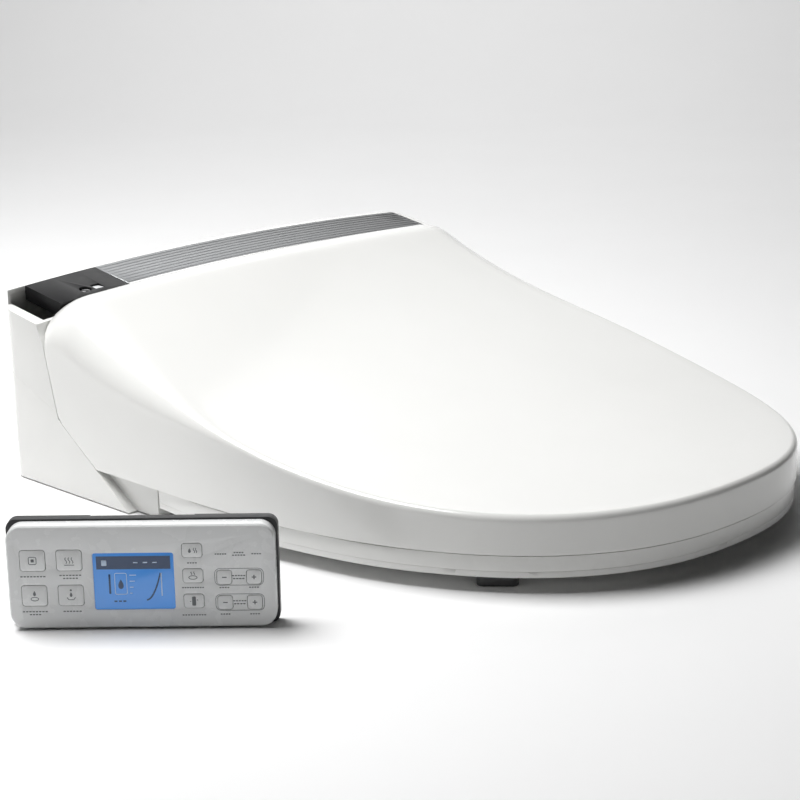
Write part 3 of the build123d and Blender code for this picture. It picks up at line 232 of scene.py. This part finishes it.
columns = len(flat)
rear_y = np.full(columns, hinge_y)
for _ in range(12):
    rear = lid_row(rear_y, side_at(rear_y), rear_y)
    rear_y = seam_end(rear[:, 0], rear[:, 2])
rows = []
for turn in np.linspace(0, math.pi / 2, fan_steps + 1):
    out_x = half_width * math.sin(turn) ** (2 / nose_power)
    out_y = widest_y - (widest_y - tip_y) * math.cos(turn) ** (2 / nose_power)
    rows.append(lid_row(np.full(columns, widest_y), np.full(columns, out_x), np.full(columns, out_y)))
for k in range(1, cross_steps + 1):
    y = widest_y + (rear_y - widest_y) * k / cross_steps
    rows.append(lid_row(y, side_at(y), y))
lip_x, lip_z = rows[-1][:, 0], rows[-1][:, 2]
lip_radius = lip_mid - (lip_mid - lip_side) * (lip_x / lip_half) ** 2
lip_from = np.arcsin(np.clip((lip_z - hinge_z) / lip_radius, -1, 1))
lip_columns = int((lip_from > lip_stop).sum())
for k in range(1, lip_steps + 1):
    turn = lip_from + (np.minimum(lip_from, lip_stop) - lip_from) * k / lip_steps
    rows.append(np.stack([lip_x, hinge_y + lip_radius * np.cos(turn), hinge_z + lip_radius * np.sin(turn)],
                         axis=1))
shell = bmesh.new()
for side in (1, -1):
    grid = [[shell.verts.new((side * x, y, z)) for x, y, z in row] for row in rows]
    for i in range(len(rows) - 1):
        width = columns - 1 if i < len(rows) - 1 - lip_steps else lip_columns - 1
        for j in range(width):
            ring = [grid[i][j], grid[i][j + 1], grid[i + 1][j + 1], grid[i + 1][j]]
            shell.faces.new(ring if side > 0 else ring[::-1])
bmesh.ops.remove_doubles(shell, verts=shell.verts, dist=0.01 * mm)
bmesh.ops.delete(shell, geom=[v for v in shell.verts if not v.link_faces], context="VERTS")
bmesh.ops.recalc_face_normals(shell, faces=shell.faces)
if max(shell.faces, key=lambda f: f.calc_center_median().z).normal.z < 0:
    bmesh.ops.reverse_faces(shell, faces=shell.faces)
lid_mesh = bpy.data.meshes.new("lid_shell")
shell.to_mesh(lid_mesh)
shell.free()
lid_mesh.materials.append(white_gloss)
lid_shell = bpy.data.objects.new("lid_shell", lid_mesh)
bpy.context.scene.collection.objects.link(lid_shell)
thick = lid_shell.modifiers.new("wall", "SOLIDIFY")
thick.thickness = lid_wall
thick.offset = -1
thick.use_even_offset = True
soften = lid_shell.modifiers.new("rim", "BEVEL")
soften.width = 0.6 * mm
soften.segments = 3
soften.angle_limit = math.radians(42)
settle(lid_shell, 40)
fit(lid_shell, "lid", "white_gloss", "lid")

# the lugs are rings round each shaft, carried up into the lid's skin
lug_from, lug_to = 172 * mm, 184 * mm
lug_r, bore_r = 10 * mm, 4.05 * mm
lug_sides = 48
lug_turns = [math.tau * k / lug_sides for k in range(lug_sides)]
lugs = bmesh.new()
for side in (1, -1):
    loops = []
    for x, radius_of in ((lug_from, 0), (lug_from, 1), (lug_to, 1), (lug_to, 0)):
        skin = lid_row(np.full(columns, hinge_y), side_at(np.full(columns, hinge_y)),
                       np.full(columns, hinge_y))
        room = np.interp(x, skin[:, 0], skin[:, 2]) - lid_wall / 2 - hinge_z
        loop = []
        for turn in lug_turns:
            r = bore_r
            if radius_of:
                r = lug_r if math.sin(turn) <= 0 else min(
                    lug_r / max(abs(math.cos(turn)), 0.001), room / math.sin(turn))
            loop.append(lugs.verts.new(
                (side * x, hinge_y + r * math.cos(turn), hinge_z + r * math.sin(turn))))
        loops.append(loop)
    for low, high in zip(loops, loops[1:] + loops[:1]):
        for k in range(lug_sides):
            n = (k + 1) % lug_sides
            lugs.faces.new([low[k], low[n], high[n], high[k]])
bmesh.ops.recalc_face_normals(lugs, faces=lugs.faces)
lug_mesh = bpy.data.meshes.new("lid_lugs")
lugs.to_mesh(lug_mesh)
lugs.free()
lug_mesh.materials.append(white_gloss)
lid_lugs = bpy.data.objects.new("lid_lugs", lug_mesh)
bpy.context.scene.collection.objects.link(lid_lugs)
fit(settle(lid_lugs), "lid", "white_gloss")

# ---- seat ring ----
# The seat is a hollow ring of warm white plastic with a welded base plate. A foil heater lies
# under its top, and it turns on knuckles that stand between the case's bosses and the lid's lugs.
seat_white = moulded("seat_white_plastic", (0.83, 0.83, 0.81), 0.22, coat=0.2)
foil_metal = moulded("heater_foil", (0.70, 0.70, 0.72), 0.3, skin=500, depth=0.0001, metal=1.0)
fit(rounded_copy("seat_top", 1.0 * mm, seat_white, "seat_ring_top"), "seat", "white_gloss", "seat_top")
fit(rounded_copy("seat_bottom", 0.6 * mm, seat_white, "seat_ring_plate"), "seat", "white_gloss",
    "seat_bottom")
wear(foil_metal, "seat_heater")

# ---- rubber ----
# Feet under the ring and bumpers under the lid are soft grey rubber, pressed into their seats.
rubber = moulded("soft_grey_rubber", (0.075, 0.077, 0.078), 0.62, skin=700, depth=0.0001, cloud=0.12,
                 sheen=0.2)
fit(rounded_copy("seat_feet", 1.4 * mm, rubber, "seat_foot_pads"), "seat", "grey_rubber", "seat_feet")
fit(rounded_copy("lid_bumpers", 1.0 * mm, rubber, "lid_bumper_pads"), "lid", "grey_rubber", "lid_bumpers")

# ---- rear band ----
# A brushed trim bar runs across the case behind the lid, with fine ribs along its length, and
# a smoked panel ends it over the body sensor, with a domed lens and a small power button.
brushed = moulded("brushed_trim", (0.46, 0.47, 0.48), 0.3, skin=620, depth=0.00006,
                  stretch=(0.03, 1, 1), cloud=0.2, metal=0.9)
# The bar's colour is multiplied by painted shade along its length. It is lighter at the low-x end and darker
# at the high-x end, a painted light-to-shade gradient that stands in for the reflections and shade across the
# bar.
tone = brushed.node_tree
along, painted_shade_ramp, painted_shade_tint = (tone.nodes.new(kind) for kind in (
    "ShaderNodeSeparateXYZ", "ShaderNodeMapRange", "ShaderNodeMix"))
painted_shade_tint.data_type = "RGBA"
painted_shade_tint.blend_type = "MULTIPLY"
painted_shade_tint.inputs["Factor"].default_value = 1
trim_low, trim_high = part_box("trim_strip")
for socket, value in (
        ("From Min", trim_low.x), ("From Max", trim_high.x), ("To Min", 1.25), ("To Max", 0.35)):
    painted_shade_ramp.inputs[socket].default_value = value
tone.links.new(tone.nodes["Texture Coordinate"].outputs["Object"], along.inputs["Vector"])
tone.links.new(along.outputs["X"], painted_shade_ramp.inputs["Value"])
tone.links.new(tone.nodes["Color Ramp"].outputs["Color"], painted_shade_tint.inputs["A"])
tone.links.new(painted_shade_ramp.outputs["Result"], painted_shade_tint.inputs["B"])
tone.links.new(painted_shade_tint.outputs["Result"], tone.nodes["Principled BSDF"].inputs["Base Color"])
smoked = moulded("smoked_panel", (0.016, 0.016, 0.017), 0.34, cloud=0.3)
smoked.node_tree.nodes["Principled BSDF"].inputs["Specular IOR Level"].default_value = 0.22
lens_black = moulded("lens_black", (0.004, 0.004, 0.006), 0.05, coat=1.0)
pale_cap = moulded("pale_button", (0.66, 0.67, 0.68), 0.3)
fit(rounded_copy("trim_strip", 0.8 * mm, brushed, "trim_bar"), "case", "trim_metal", "trim_strip")
fit(rounded_copy("sensor_panel", 1.2 * mm, smoked, "sensor_cover"), "case", "dark_gloss", "sensor_panel")
fit(rounded_copy("power_button", 0.5 * mm, pale_cap, "power_cap"), "power_button", "white_satin",
    "power_button")


def row_tree():
    """Repeats the piece it is given in a row, as one mesh of one material."""
    tree = bpy.data.node_groups.new("row_of_pieces", "GeometryNodeTree")
    tree.interface.new_socket("Geometry", in_out="INPUT", socket_type="NodeSocketGeometry")
    for socket, kind in (("Count", "NodeSocketInt"), ("Step", "NodeSocketVector"),
                         ("Finish", "NodeSocketMaterial")):
        tree.interface.new_socket(socket, in_out="INPUT", socket_type=kind)
    tree.interface.new_socket("Geometry", in_out="OUTPUT", socket_type="NodeSocketGeometry")
    given, result = tree.nodes.new("NodeGroupInput"), tree.nodes.new("NodeGroupOutput")
    line = tree.nodes.new("GeometryNodeMeshLine")
    place = tree.nodes.new("GeometryNodeInstanceOnPoints")
    real = tree.nodes.new("GeometryNodeRealizeInstances")
    paint = tree.nodes.new("GeometryNodeSetMaterial")
    tree.links.new(given.outputs["Count"], line.inputs["Count"])
    tree.links.new(given.outputs["Step"], line.inputs["Offset"])
    tree.links.new(line.outputs["Mesh"], place.inputs["Points"])
    tree.links.new(given.outputs["Geometry"], place.inputs["Instance"])
    tree.links.new(place.outputs["Instances"], real.inputs["Geometry"])
    tree.links.new(real.outputs["Geometry"], paint.inputs["Geometry"])
    tree.links.new(given.outputs["Finish"], paint.inputs["Material"])
    tree.links.new(paint.outputs["Geometry"], result.inputs["Geometry"])
    return tree


row_of_pieces = row_tree()


def in_a_row(piece, count, step, finish):
    """Repeats a piece with the row tree and makes it plain mesh."""
    row = piece.modifiers.new("row", "NODES")
    row.node_group = row_of_pieces
    for socket, value in (("Count", count), ("Step", step), ("Finish", finish)):
        row[row_of_pieces.interface.items_tree[socket].identifier] = value
    return settle(piece)


def top_of(node):
    """A function that gives the height of a node's top over a place."""
    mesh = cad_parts[node].data
    tree = BVHTree.FromPolygons([v.co for v in mesh.vertices], [list(p.vertices) for p in mesh.polygons])
    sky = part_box(node)[1].z + 1
    return lambda x, y: tree.ray_cast(Vector((x, y, sky)), Vector((0, 0, -1)))[0].z


def closed_piece(name, shape, finish):
    """A mesh piece from a finished shape, with its faces turned outwards."""
    bmesh.ops.recalc_face_normals(shape, faces=shape.faces)
    mesh = bpy.data.meshes.new(name)
    shape.to_mesh(mesh)
    shape.free()
    mesh.materials.append(finish)
    piece = bpy.data.objects.new(name, mesh)
    bpy.context.scene.collection.objects.link(piece)
    return piece


def tube_of_rings(shape, rings):
    """Skins a run of rings of points and closes both ends."""
    loops = [[shape.verts.new(p) for p in ring] for ring in rings]
    for low, high in zip(loops, loops[1:]):
        for k in range(len(low)):
            n = (k + 1) % len(low)
            shape.faces.new([low[k], low[n], high[n], high[k]])
    shape.faces.new(loops[0])
    shape.faces.new(loops[-1][::-1])


trim_top = top_of("trim_strip")
rib_count, rib_half, rib_height, rib_margin = 8, 0.9 * mm, 0.22 * mm, 3 * mm
rib_rise = (trim_top(0, trim_high.y - rib_margin) - trim_top(0, trim_low.y + rib_margin))
rib_step = (trim_high.y - trim_low.y - 2 * rib_margin) / (rib_count - 1)
rib = bmesh.new()
tube_of_rings(rib, [
    [(x, trim_low.y + rib_margin + rib_half * math.cos(a),
      trim_top(x, trim_low.y + rib_margin) - 0.05 * mm + rib_height * math.sin(a))
     for a in [math.tau * k / 10 for k in range(10)]]
    for x in np.linspace(trim_low.x + 2 * mm, trim_high.x - 2 * mm, 40)])
trim_ribs = closed_piece("trim_ribs", rib, brushed)
in_a_row(trim_ribs, rib_count, (0, rib_step, rib_rise / (rib_count - 1)), brushed)
fit(trim_ribs, "case", "trim_metal")

lens_low, lens_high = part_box("sensor_lens")
lens_x, lens_y = (lens_low.x + lens_high.x) / 2, (lens_low.y + lens_high.y) / 2
lens_r = (lens_high.x - lens_low.x) / 2
dome = bmesh.new()
tube_of_rings(dome, [
    [(lens_x + r * math.cos(a), lens_y + r * math.sin(a), z)
     for a in [math.tau * k / 40 for k in range(40)]]
    for r, z in [(lens_r, lens_low.z), (lens_r, lens_high.z - 0.4 * mm),
                 (lens_r - 0.3 * mm, lens_high.z - 0.1 * mm), (lens_r - 0.7 * mm, lens_high.z - 0.1 * mm)]
    + [(0.85 * lens_r * math.cos(t), lens_high.z - 0.5 * mm + 1.1 * mm * math.sin(t))
       for t in np.linspace(0, 1.45, 9)]])
fit(settle(closed_piece("sensor_dome", dome, lens_black)), "case", "smoke_lens", "sensor_lens")

# ---- inner works ----
# Hinges, nozzle, dryer, deodoriser, water and power parts sit on the base, each moulded, drawn
# or pressed, and screwed or clipped to its posts.
steel = moulded("polished_steel", (0.62, 0.62, 0.63), 0.2, skin=900, metal=1.0)
black_plastic = moulded("black_plastic", (0.03, 0.03, 0.032), 0.42, skin=800, depth=0.00005, cloud=0.2)
grey_plastic = moulded("grey_plastic", (0.32, 0.33, 0.34), 0.4, skin=800, depth=0.00005)
brass = moulded("nickel_brass", (0.72, 0.62, 0.40), 0.28, metal=1.0)
board_green = moulded("board_green", (0.03, 0.20, 0.09), 0.35, skin=300, depth=0.0001, cloud=0.35)
copper = moulded("wound_copper", (0.62, 0.30, 0.14), 0.35, skin=500, stretch=(1, 8, 1), metal=0.8)
carbon = moulded("filter_grey", (0.20, 0.21, 0.22), 0.5, skin=400, depth=0.0002, cloud=0.2)
wear(steel, "hinge_shafts", "nozzle_tip", "nozzle_arm", "case_screws", "bolt_inserts", "coin_cell")
wear(black_plastic, "dryer_motor", "nozzle_motor", "cable_gland", "dryer_duct", "deodoriser_fan")
wear(grey_plastic, "hinge_dampers", "nozzle_guide", "dryer_impeller", "deodoriser_housing", "water_pump",
     "inlet_valve", "wall_bracket")
wear(brass, "water_inlet")
wear(board_green, "control_board", "power_board", "remote_board")
wear(copper, "transformer", "dryer_heater")
wear(carbon, "filter_cartridge")
wear(white_satin, "nozzle_cover", "dryer_flap", "water_heater", "drain_knob", "release_button",
     "mounting_plate")

# ---- remote ----
# A white front snapped into a charcoal back, with a lit blue display under a glossy window and
# eleven flush keys on short springs. It hangs on two pegs of its wall bracket.
charcoal = moulded("charcoal_plastic", (0.030, 0.031, 0.033), 0.4, skin=900, depth=0.00004)
remote_white = moulded("remote_white", (0.84, 0.85, 0.85), 0.26, coat=0.1)
print_grey = moulded("print_grey", (0.16, 0.17, 0.18), 0.5)
fit(rounded_copy("remote_back", 0.6 * mm, charcoal, "remote_back_case"), "remote", "dark_case",
    "remote_back")
fit(rounded_copy("remote_front", 0.5 * mm, remote_white, "remote_front_case"), "remote", "white_gloss",
    "remote_front")
wear(charcoal, "battery_door")

remote_turn = math.radians(-47.3)
remote_axes = np.array([(math.cos(remote_turn), math.sin(remote_turn), 0), (0, 0, 1),
                        (math.sin(remote_turn), -math.cos(remote_turn), 0)])


def seen_on_remote(node):
    """A node's lowest and highest corner across, up and out of the remote."""
    local = np.array([v.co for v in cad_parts[node].data.vertices]) @ remote_axes.T
    return local.min(0), local.max(0)


def tablet(shape, outline, low, high, edge, skin=0):
    """A closed flat piece on the remote with a softened top edge, from its outline."""
    middle = np.mean(outline, axis=0)
    rings = []
    for inset, height in ((0, low), (0, high - edge), (0.3 * edge, high - 0.3 * edge), (edge, high)):
        ring = []
        for point in outline:
            arm = np.array(point) - middle
            across, up = middle + arm * (1 - inset / np.hypot(*arm))
            ring.append(tuple(np.array((across, up, height)) @ remote_axes))
        rings.append(ring)
    before = len(shape.faces)
    tube_of_rings(shape, rings)
    shape.faces.ensure_lookup_table()
    for face in shape.faces[before:]:
        face.material_index = skin


def rounded(left, bottom, right, top, r, steps=6):
    """Outline of a rectangle with round corners."""
    return [(x + r * math.cos(a + t), y + r * math.sin(a + t))
            for x, y, a in ((right - r, top - r, 0), (left + r, top - r, math.pi / 2),
                            (left + r, bottom + r, math.pi), (right - r, bottom + r, 1.5 * math.pi))
            for t in [math.pi / 2 * k / steps for k in range(steps + 1)]]


def bar(x0, y0, x1, y1, width):
    """Outline of a straight stroke."""
    run = math.hypot(x1 - x0, y1 - y0)
    dx, dy = (y1 - y0) / run * width / 2, -(x1 - x0) / run * width / 2
    return [(x0 + dx, y0 + dy), (x1 + dx, y1 + dy), (x1 - dx, y1 - dy), (x0 - dx, y0 - dy)]


def path(points, width, closed=False):
    """Strokes along a line of points."""
    ends = points[1:] + points[:1] if closed else points[1:]
    return [bar(*p, *q, width) for p, q in zip(points, ends)]


def oval(x, y, half_x, half_y, steps=16):
    """Outline of an oval."""
    return [(x + half_x * math.cos(math.tau * k / steps), y + half_y * math.sin(math.tau * k / steps))
            for k in range(steps)]


def drop(x, y, size):
    """Outline of a falling drop."""
    return [(x + size * 0.62 * math.sin(a) * math.sin(a / 2), y + size * math.cos(a) * 0.9)
            for a in [math.tau * k / 20 for k in range(20)]]


def wave(x, y, length, swing, stroke):
    """An upright wavy stroke, as on heating symbols."""
    return path([(x + swing * math.sin(t * math.tau), y + length * (t - 0.5)) for t in np.linspace(0, 1, 9)],
                stroke)


stroke = 0.42 * mm
symbols = {
    "key_stop": path(rounded(-2.2 * mm, -2.2 * mm, 2.2 * mm, 2.2 * mm, 0.8 * mm, 3), stroke, True)
    + [rounded(-0.9 * mm, -0.9 * mm, 0.9 * mm, 0.9 * mm, 0.3 * mm, 2)],
    "key_dry": wave(-1.8 * mm, 0, 3.6 * mm, 0.5 * mm, stroke) + wave(0, 0, 3.6 * mm, 0.5 * mm, stroke)
    + wave(1.8 * mm, 0, 3.6 * mm, 0.5 * mm, stroke)
    + [bar(-2.8 * mm, -2.8 * mm, 2.8 * mm, -2.8 * mm, stroke)],
    "key_rear_wash": [drop(0, 1.4 * mm, 1.7 * mm)] + path(oval(0, -2 * mm, 2.2 * mm, 1.1 * mm), stroke, True),
    "key_front_wash": [drop(0, 0.6 * mm, 1.6 * mm), oval(0, 3.2 * mm, 0.6 * mm, 0.6 * mm)]
    + path([(-2.4 * mm, -1.2 * mm), (-1.4 * mm, -2.6 * mm), (1.4 * mm, -2.6 * mm), (2.4 * mm, -1.2 * mm)],
           stroke),
    "key_water_heat": [drop(-1.3 * mm, 0, 1.6 * mm)] + wave(1.3 * mm, 0, 3 * mm, 0.4 * mm, stroke)
    + wave(2.5 * mm, 0, 3 * mm, 0.4 * mm, stroke),
    "key_seat_heat": path(oval(0, -1 * mm, 2.4 * mm, 1.1 * mm), stroke, True)
    + wave(-0.8 * mm, 1.6 * mm, 1.8 * mm, 0.3 * mm, stroke)
    + wave(0.8 * mm, 1.6 * mm, 1.8 * mm, 0.3 * mm, stroke),
    "key_air_heat": [rounded(-1.1 * mm, -2.8 * mm, 1.1 * mm, 2.8 * mm, 0.5 * mm, 3)]
    + [bar(-2.4 * mm, -0.2 * mm, -1.6 * mm, -0.2 * mm, stroke),
       bar(1.6 * mm, 0.6 * mm, 2.4 * mm, 0.6 * mm, stroke)],
}
for key in ("key_pressure_less", "key_position_less"):
    symbols[key] = [bar(-1.3 * mm, 0, 1.3 * mm, 0, 0.6 * mm)]
for key in ("key_pressure_more", "key_position_more"):
    symbols[key] = [bar(-1.3 * mm, 0, 1.3 * mm, 0, 0.6 * mm), bar(0, -1.3 * mm, 0, 1.3 * mm, 0.6 * mm)]
ink = 0.06 * mm
for key, strokes in symbols.items():
    low, high = seen_on_remote(key)
    x, y = (low[0] + high[0]) / 2, (low[1] + high[1]) / 2
    cap = bmesh.new()
    tablet(cap, rounded(low[0], low[1], high[0], high[1], 1.7 * mm), low[2], high[2] - ink, 0.25 * mm)
    for outline in strokes:
        tablet(cap, [(x + px, y + py) for px, py in outline], high[2] - 2 * ink, high[2], ink / 4, 1)
    piece = closed_piece(key + "_cap", cap, remote_white)
    piece.data.materials.append(print_grey)
    fit(settle(piece), key, "key_white", key)

# the words beside the keys are only rows of short dashes, and two outlines join less to more
front_low, front_high = seen_on_remote("remote_front")
mid_x, face = (front_low[0] + front_high[0]) / 2, front_high[2]
front_print = bmesh.new()


def dashes(x, y, count, length, height=0.7 * mm):
    """A short row of dashes about a middle."""
    step = length / count
    for k in range(count):
        left = mid_x + x - length / 2 + k * step
        tablet(front_print, rounded(left, y - height / 2, left + step * 0.72, y + height / 2, 0.1 * mm, 1),
               face - ink / 2, face + ink, ink / 4)


for x, y, count, length in (
        (-62, 33, 8, 15), (-40.5, 33.6, 7, 13), (-40.5, 31.8, 5, 9), (-62, 11.6, 8, 15), (-62, 9.8, 4, 7),
        (-40.5, 11.6, 6, 11), (29.5, 40.4, 4, 6), (29.5, 25.4, 9, 13), (29.5, 8.6, 9, 14),
        (47.5, 25.2, 4, 6), (64.5, 25.2, 4, 6), (47.5, 8.9, 4, 6), (64.5, 8.9, 4, 6),
        (56, 32.4, 5, 8), (56, 30.6, 4, 7), (56, 17, 5, 8), (56, 15.2, 4, 7),
        (46, 45.6, 5, 7), (56.4, 46.4, 4, 6), (56.4, 44.8, 5, 8), (66.5, 45.6, 4, 6)):
    dashes(x * mm, y * mm, count, length * mm)
for low_y, high_y in ((26.6, 36.8), (11.2, 21.2)):
    for outline in path(rounded(mid_x + 42 * mm, low_y * mm, mid_x + 70 * mm, high_y * mm, 3 * mm, 4),
                        0.3 * mm, True):
        tablet(front_print, outline, face - ink / 2, face + ink, ink / 4)
fit(settle(closed_piece("front_print", front_print, print_grey)), "remote", "dark_case")

# the display glows blue, brighter to the left, under a dark band with pale pictograms
screen_low, screen_high = seen_on_remote("lcd_window")
screen_blue = moulded("display_blue", (0.10, 0.28, 0.72), 0.15, coat=0.4)
paint = screen_blue.node_tree
glow = paint.nodes["Principled BSDF"]
sweep = paint.nodes.new("ShaderNodeSeparateXYZ")
slide = paint.nodes.new("ShaderNodeMapRange")
screen_mid = np.array(((screen_low[0] + screen_high[0]) / 2, 0, 0)) @ remote_axes
sweep_half = 14 * mm
slide.inputs["From Min"].default_value = screen_mid[0] - sweep_half
slide.inputs["From Max"].default_value = screen_mid[0] + sweep_half
shade = paint.nodes.new("ShaderNodeValToRGB")
shade.color_ramp.elements[0].color = (0.075, 0.26, 0.66, 1)
shade.color_ramp.elements[1].color = (0.035, 0.15, 0.50, 1)
paint.links.new(paint.nodes["Texture Coordinate"].outputs["Object"], sweep.inputs["Vector"])
paint.links.new(sweep.outputs["X"], slide.inputs["Value"])
paint.links.new(slide.outputs["Result"], shade.inputs["Fac"])
paint.links.new(shade.outputs["Color"], glow.inputs["Emission Color"])
paint.links.new(shade.outputs["Color"], glow.inputs["Base Color"])
glow.inputs["Emission Strength"].default_value = 0.3
screen_dark = moulded("display_band", (0.022, 0.060, 0.15), 0.2, coat=0.4)
screen_pale = moulded("display_marks", (0.62, 0.76, 0.95), 0.3)
screen = bmesh.new()
glass = screen_high[2]
tablet(screen, rounded(screen_low[0], screen_low[1], screen_high[0], screen_high[1], 1.2 * mm),
       screen_low[2], glass - ink, 0.2 * mm)
screen_margin = 1.9 * mm
left, bottom = screen_low[0] + screen_margin, screen_low[1] + screen_margin
width, height = screen_high[0] - screen_margin - left, screen_high[1] - screen_margin - bottom
band_y = bottom + 0.74 * height
dark_marks = [bar(left, band_y + 0.13 * height, left + width, band_y + 0.13 * height, 0.26 * height),
              drop(left + 0.32 * width, bottom + 0.44 * height, 3.2 * mm),
              bar(left + 0.17 * width, bottom + 0.25 * height,
                  left + 0.17 * width, bottom + 0.64 * height, 1.1 * mm)]
dark_marks += path([(left + (0.66 + 0.20 * t) * width, bottom + (0.12 + 0.54 * t**2) * height)
                    for t in np.linspace(0, 1, 9)], 0.9 * mm)
dark_marks += [bar(left + (0.22 + 0.06 * k) * width, bottom + 0.1 * height, left + (0.26 + 0.06 * k) * width,
                   bottom + 0.1 * height, 0.9 * mm) for k in range(3)]
for outline in dark_marks:
    tablet(screen, outline, glass - 2 * ink, glass - ink / 2, ink / 8, 1)
pale_marks = path(rounded(left + 0.24 * width, bottom + 0.24 * height, left + 0.40 * width,
                          bottom + 0.66 * height, 0.8 * mm, 3), 0.4 * mm, True)
pale_marks += [bar(left + 0.44 * width, bottom + (0.26 + 0.12 * k) * height,
                   left + (0.47 + 0.02 * k) * width, bottom + (0.26 + 0.12 * k) * height, 0.5 * mm)
               for k in range(4)]
pale_marks += [rounded(left + 0.07 * width, band_y + 0.07 * height, left + 0.14 * width,
                       band_y + 0.18 * height, 0.4 * mm, 2)]
pale_marks += [bar(left + (0.5 + 0.13 * k) * width, band_y + 0.13 * height, left + (0.56 + 0.13 * k) * width,
                   band_y + 0.13 * height, 0.7 * mm) for k in range(3)]
pale_marks += [bar(left + 0.87 * width, bottom + 0.2 * height,
                   left + 0.87 * width, bottom + 0.66 * height, 0.6 * mm)]
for outline in pale_marks:
    tablet(screen, outline, glass - 2 * ink, glass, ink / 8, 2)
screen_piece = closed_piece("display_screen", screen, screen_blue)
screen_piece.data.materials.append(screen_dark)
screen_piece.data.materials.append(screen_pale)
fit(settle(screen_piece), "remote", "lcd_blue", "lcd_window")
wear(screen_blue, "lcd_display")

# ---- studio ----
# A pale floor that curves up into a backdrop, one soft light over the near rear corner, one on
# the backdrop alone, and the camera.
floor_half, sweep_from, sweep_r, back_h = 3.0, 1.6, 0.8, 2.4
floor_paint = moulded("studio_floor", (0.93, 0.93, 0.93), 0.6, skin=60, cloud=0.01)
floor_points, floor_faces = [], []
profile = [(-floor_half, 0), (sweep_from, 0)] + [
    (sweep_from + sweep_r * math.sin(a), sweep_r * (1 - math.cos(a)))
    for a in [math.pi / 2 * k / 16 for k in range(1, 17)]] + [(sweep_from + sweep_r, back_h)]
view_turn = math.radians(-47.27)
for x in (-floor_half, floor_half):
    for along, height in profile:
        floor_points.append((x * math.cos(view_turn) - along * math.sin(view_turn),
                             x * math.sin(view_turn) + along * math.cos(view_turn), height))
for k in range(len(profile) - 1):
    n = len(profile)
    floor_faces.append((k, n + k, n + k + 1, k + 1))
floor_mesh = bpy.data.meshes.new("studio_floor")
floor_mesh.from_pydata(floor_points, [], floor_faces)
floor_mesh.materials.append(floor_paint)
floor_mesh.shade_smooth()
floor = bpy.data.objects.new("studio_floor", floor_mesh)
bpy.context.scene.collection.objects.link(floor)

bpy.context.scene.view_settings.view_transform = "Standard"
world = bpy.data.worlds.new("studio_air")
world.use_nodes = True
air = world.node_tree
toward_light = air.nodes.new("ShaderNodeVectorMath")
toward_light.operation = "DOT_PRODUCT"
toward_light.inputs[1].default_value = (-0.20, 0.35, 0.91)
fading = air.nodes.new("ShaderNodeMapRange")
for socket, value in (("From Min", 0.0), ("From Max", 0.95), ("To Min", 0.02), ("To Max", 0.95)):
    fading.inputs[socket].default_value = value
air.links.new(air.nodes.new("ShaderNodeTexCoord").outputs["Generated"], toward_light.inputs[0])
air.links.new(toward_light.outputs["Value"], fading.inputs["Value"])
air.links.new(fading.outputs["Result"], air.nodes["Background"].inputs["Strength"])
bpy.context.scene.world = world
aim = Vector((0, -0.19, 0.06))
for name, place, target, size, power in (
        ("near_softbox", (-0.38, 0.28, 1.23), aim, 0.8, 26),
        ("backdrop_softbox", (1.0, 0.9, 1.9), Vector((2.2, 2.0, 0.6)), 1.4, 22)):
    light = bpy.data.lights.new(name, "AREA")
    light.shape = "SQUARE"
    light.size = size
    light.energy = power
    lamp = bpy.data.objects.new(name, light)
    lamp.location = place
    lamp.rotation_euler = (target - Vector(place)).to_track_quat("-Z", "Y").to_euler()
    bpy.context.scene.collection.objects.link(lamp)

view_rise, view_roll = math.radians(15.71), math.radians(-0.62)
view_distance = 1.470
back = Vector((math.sin(view_turn) * math.cos(view_rise), -math.cos(view_turn) * math.cos(view_rise),
               math.sin(view_rise)))
level = Vector((math.cos(view_turn), math.sin(view_turn), 0))
rise = back.cross(level)
right = level * math.cos(view_roll) + rise * math.sin(view_roll)
upward = rise * math.cos(view_roll) - level * math.sin(view_roll)
camera_data = bpy.data.cameras.new("view")
camera_data.lens = 95.84
camera_data.shift_x, camera_data.shift_y = -0.0864, 0.0016
camera = bpy.data.objects.new("view", camera_data)
turned = Matrix((right, upward, back)).transposed().to_4x4()
camera.matrix_world = Matrix.Translation(aim + back * view_distance) @ turned
bpy.context.scene.collection.objects.link(camera)
bpy.context.scene.camera = camera
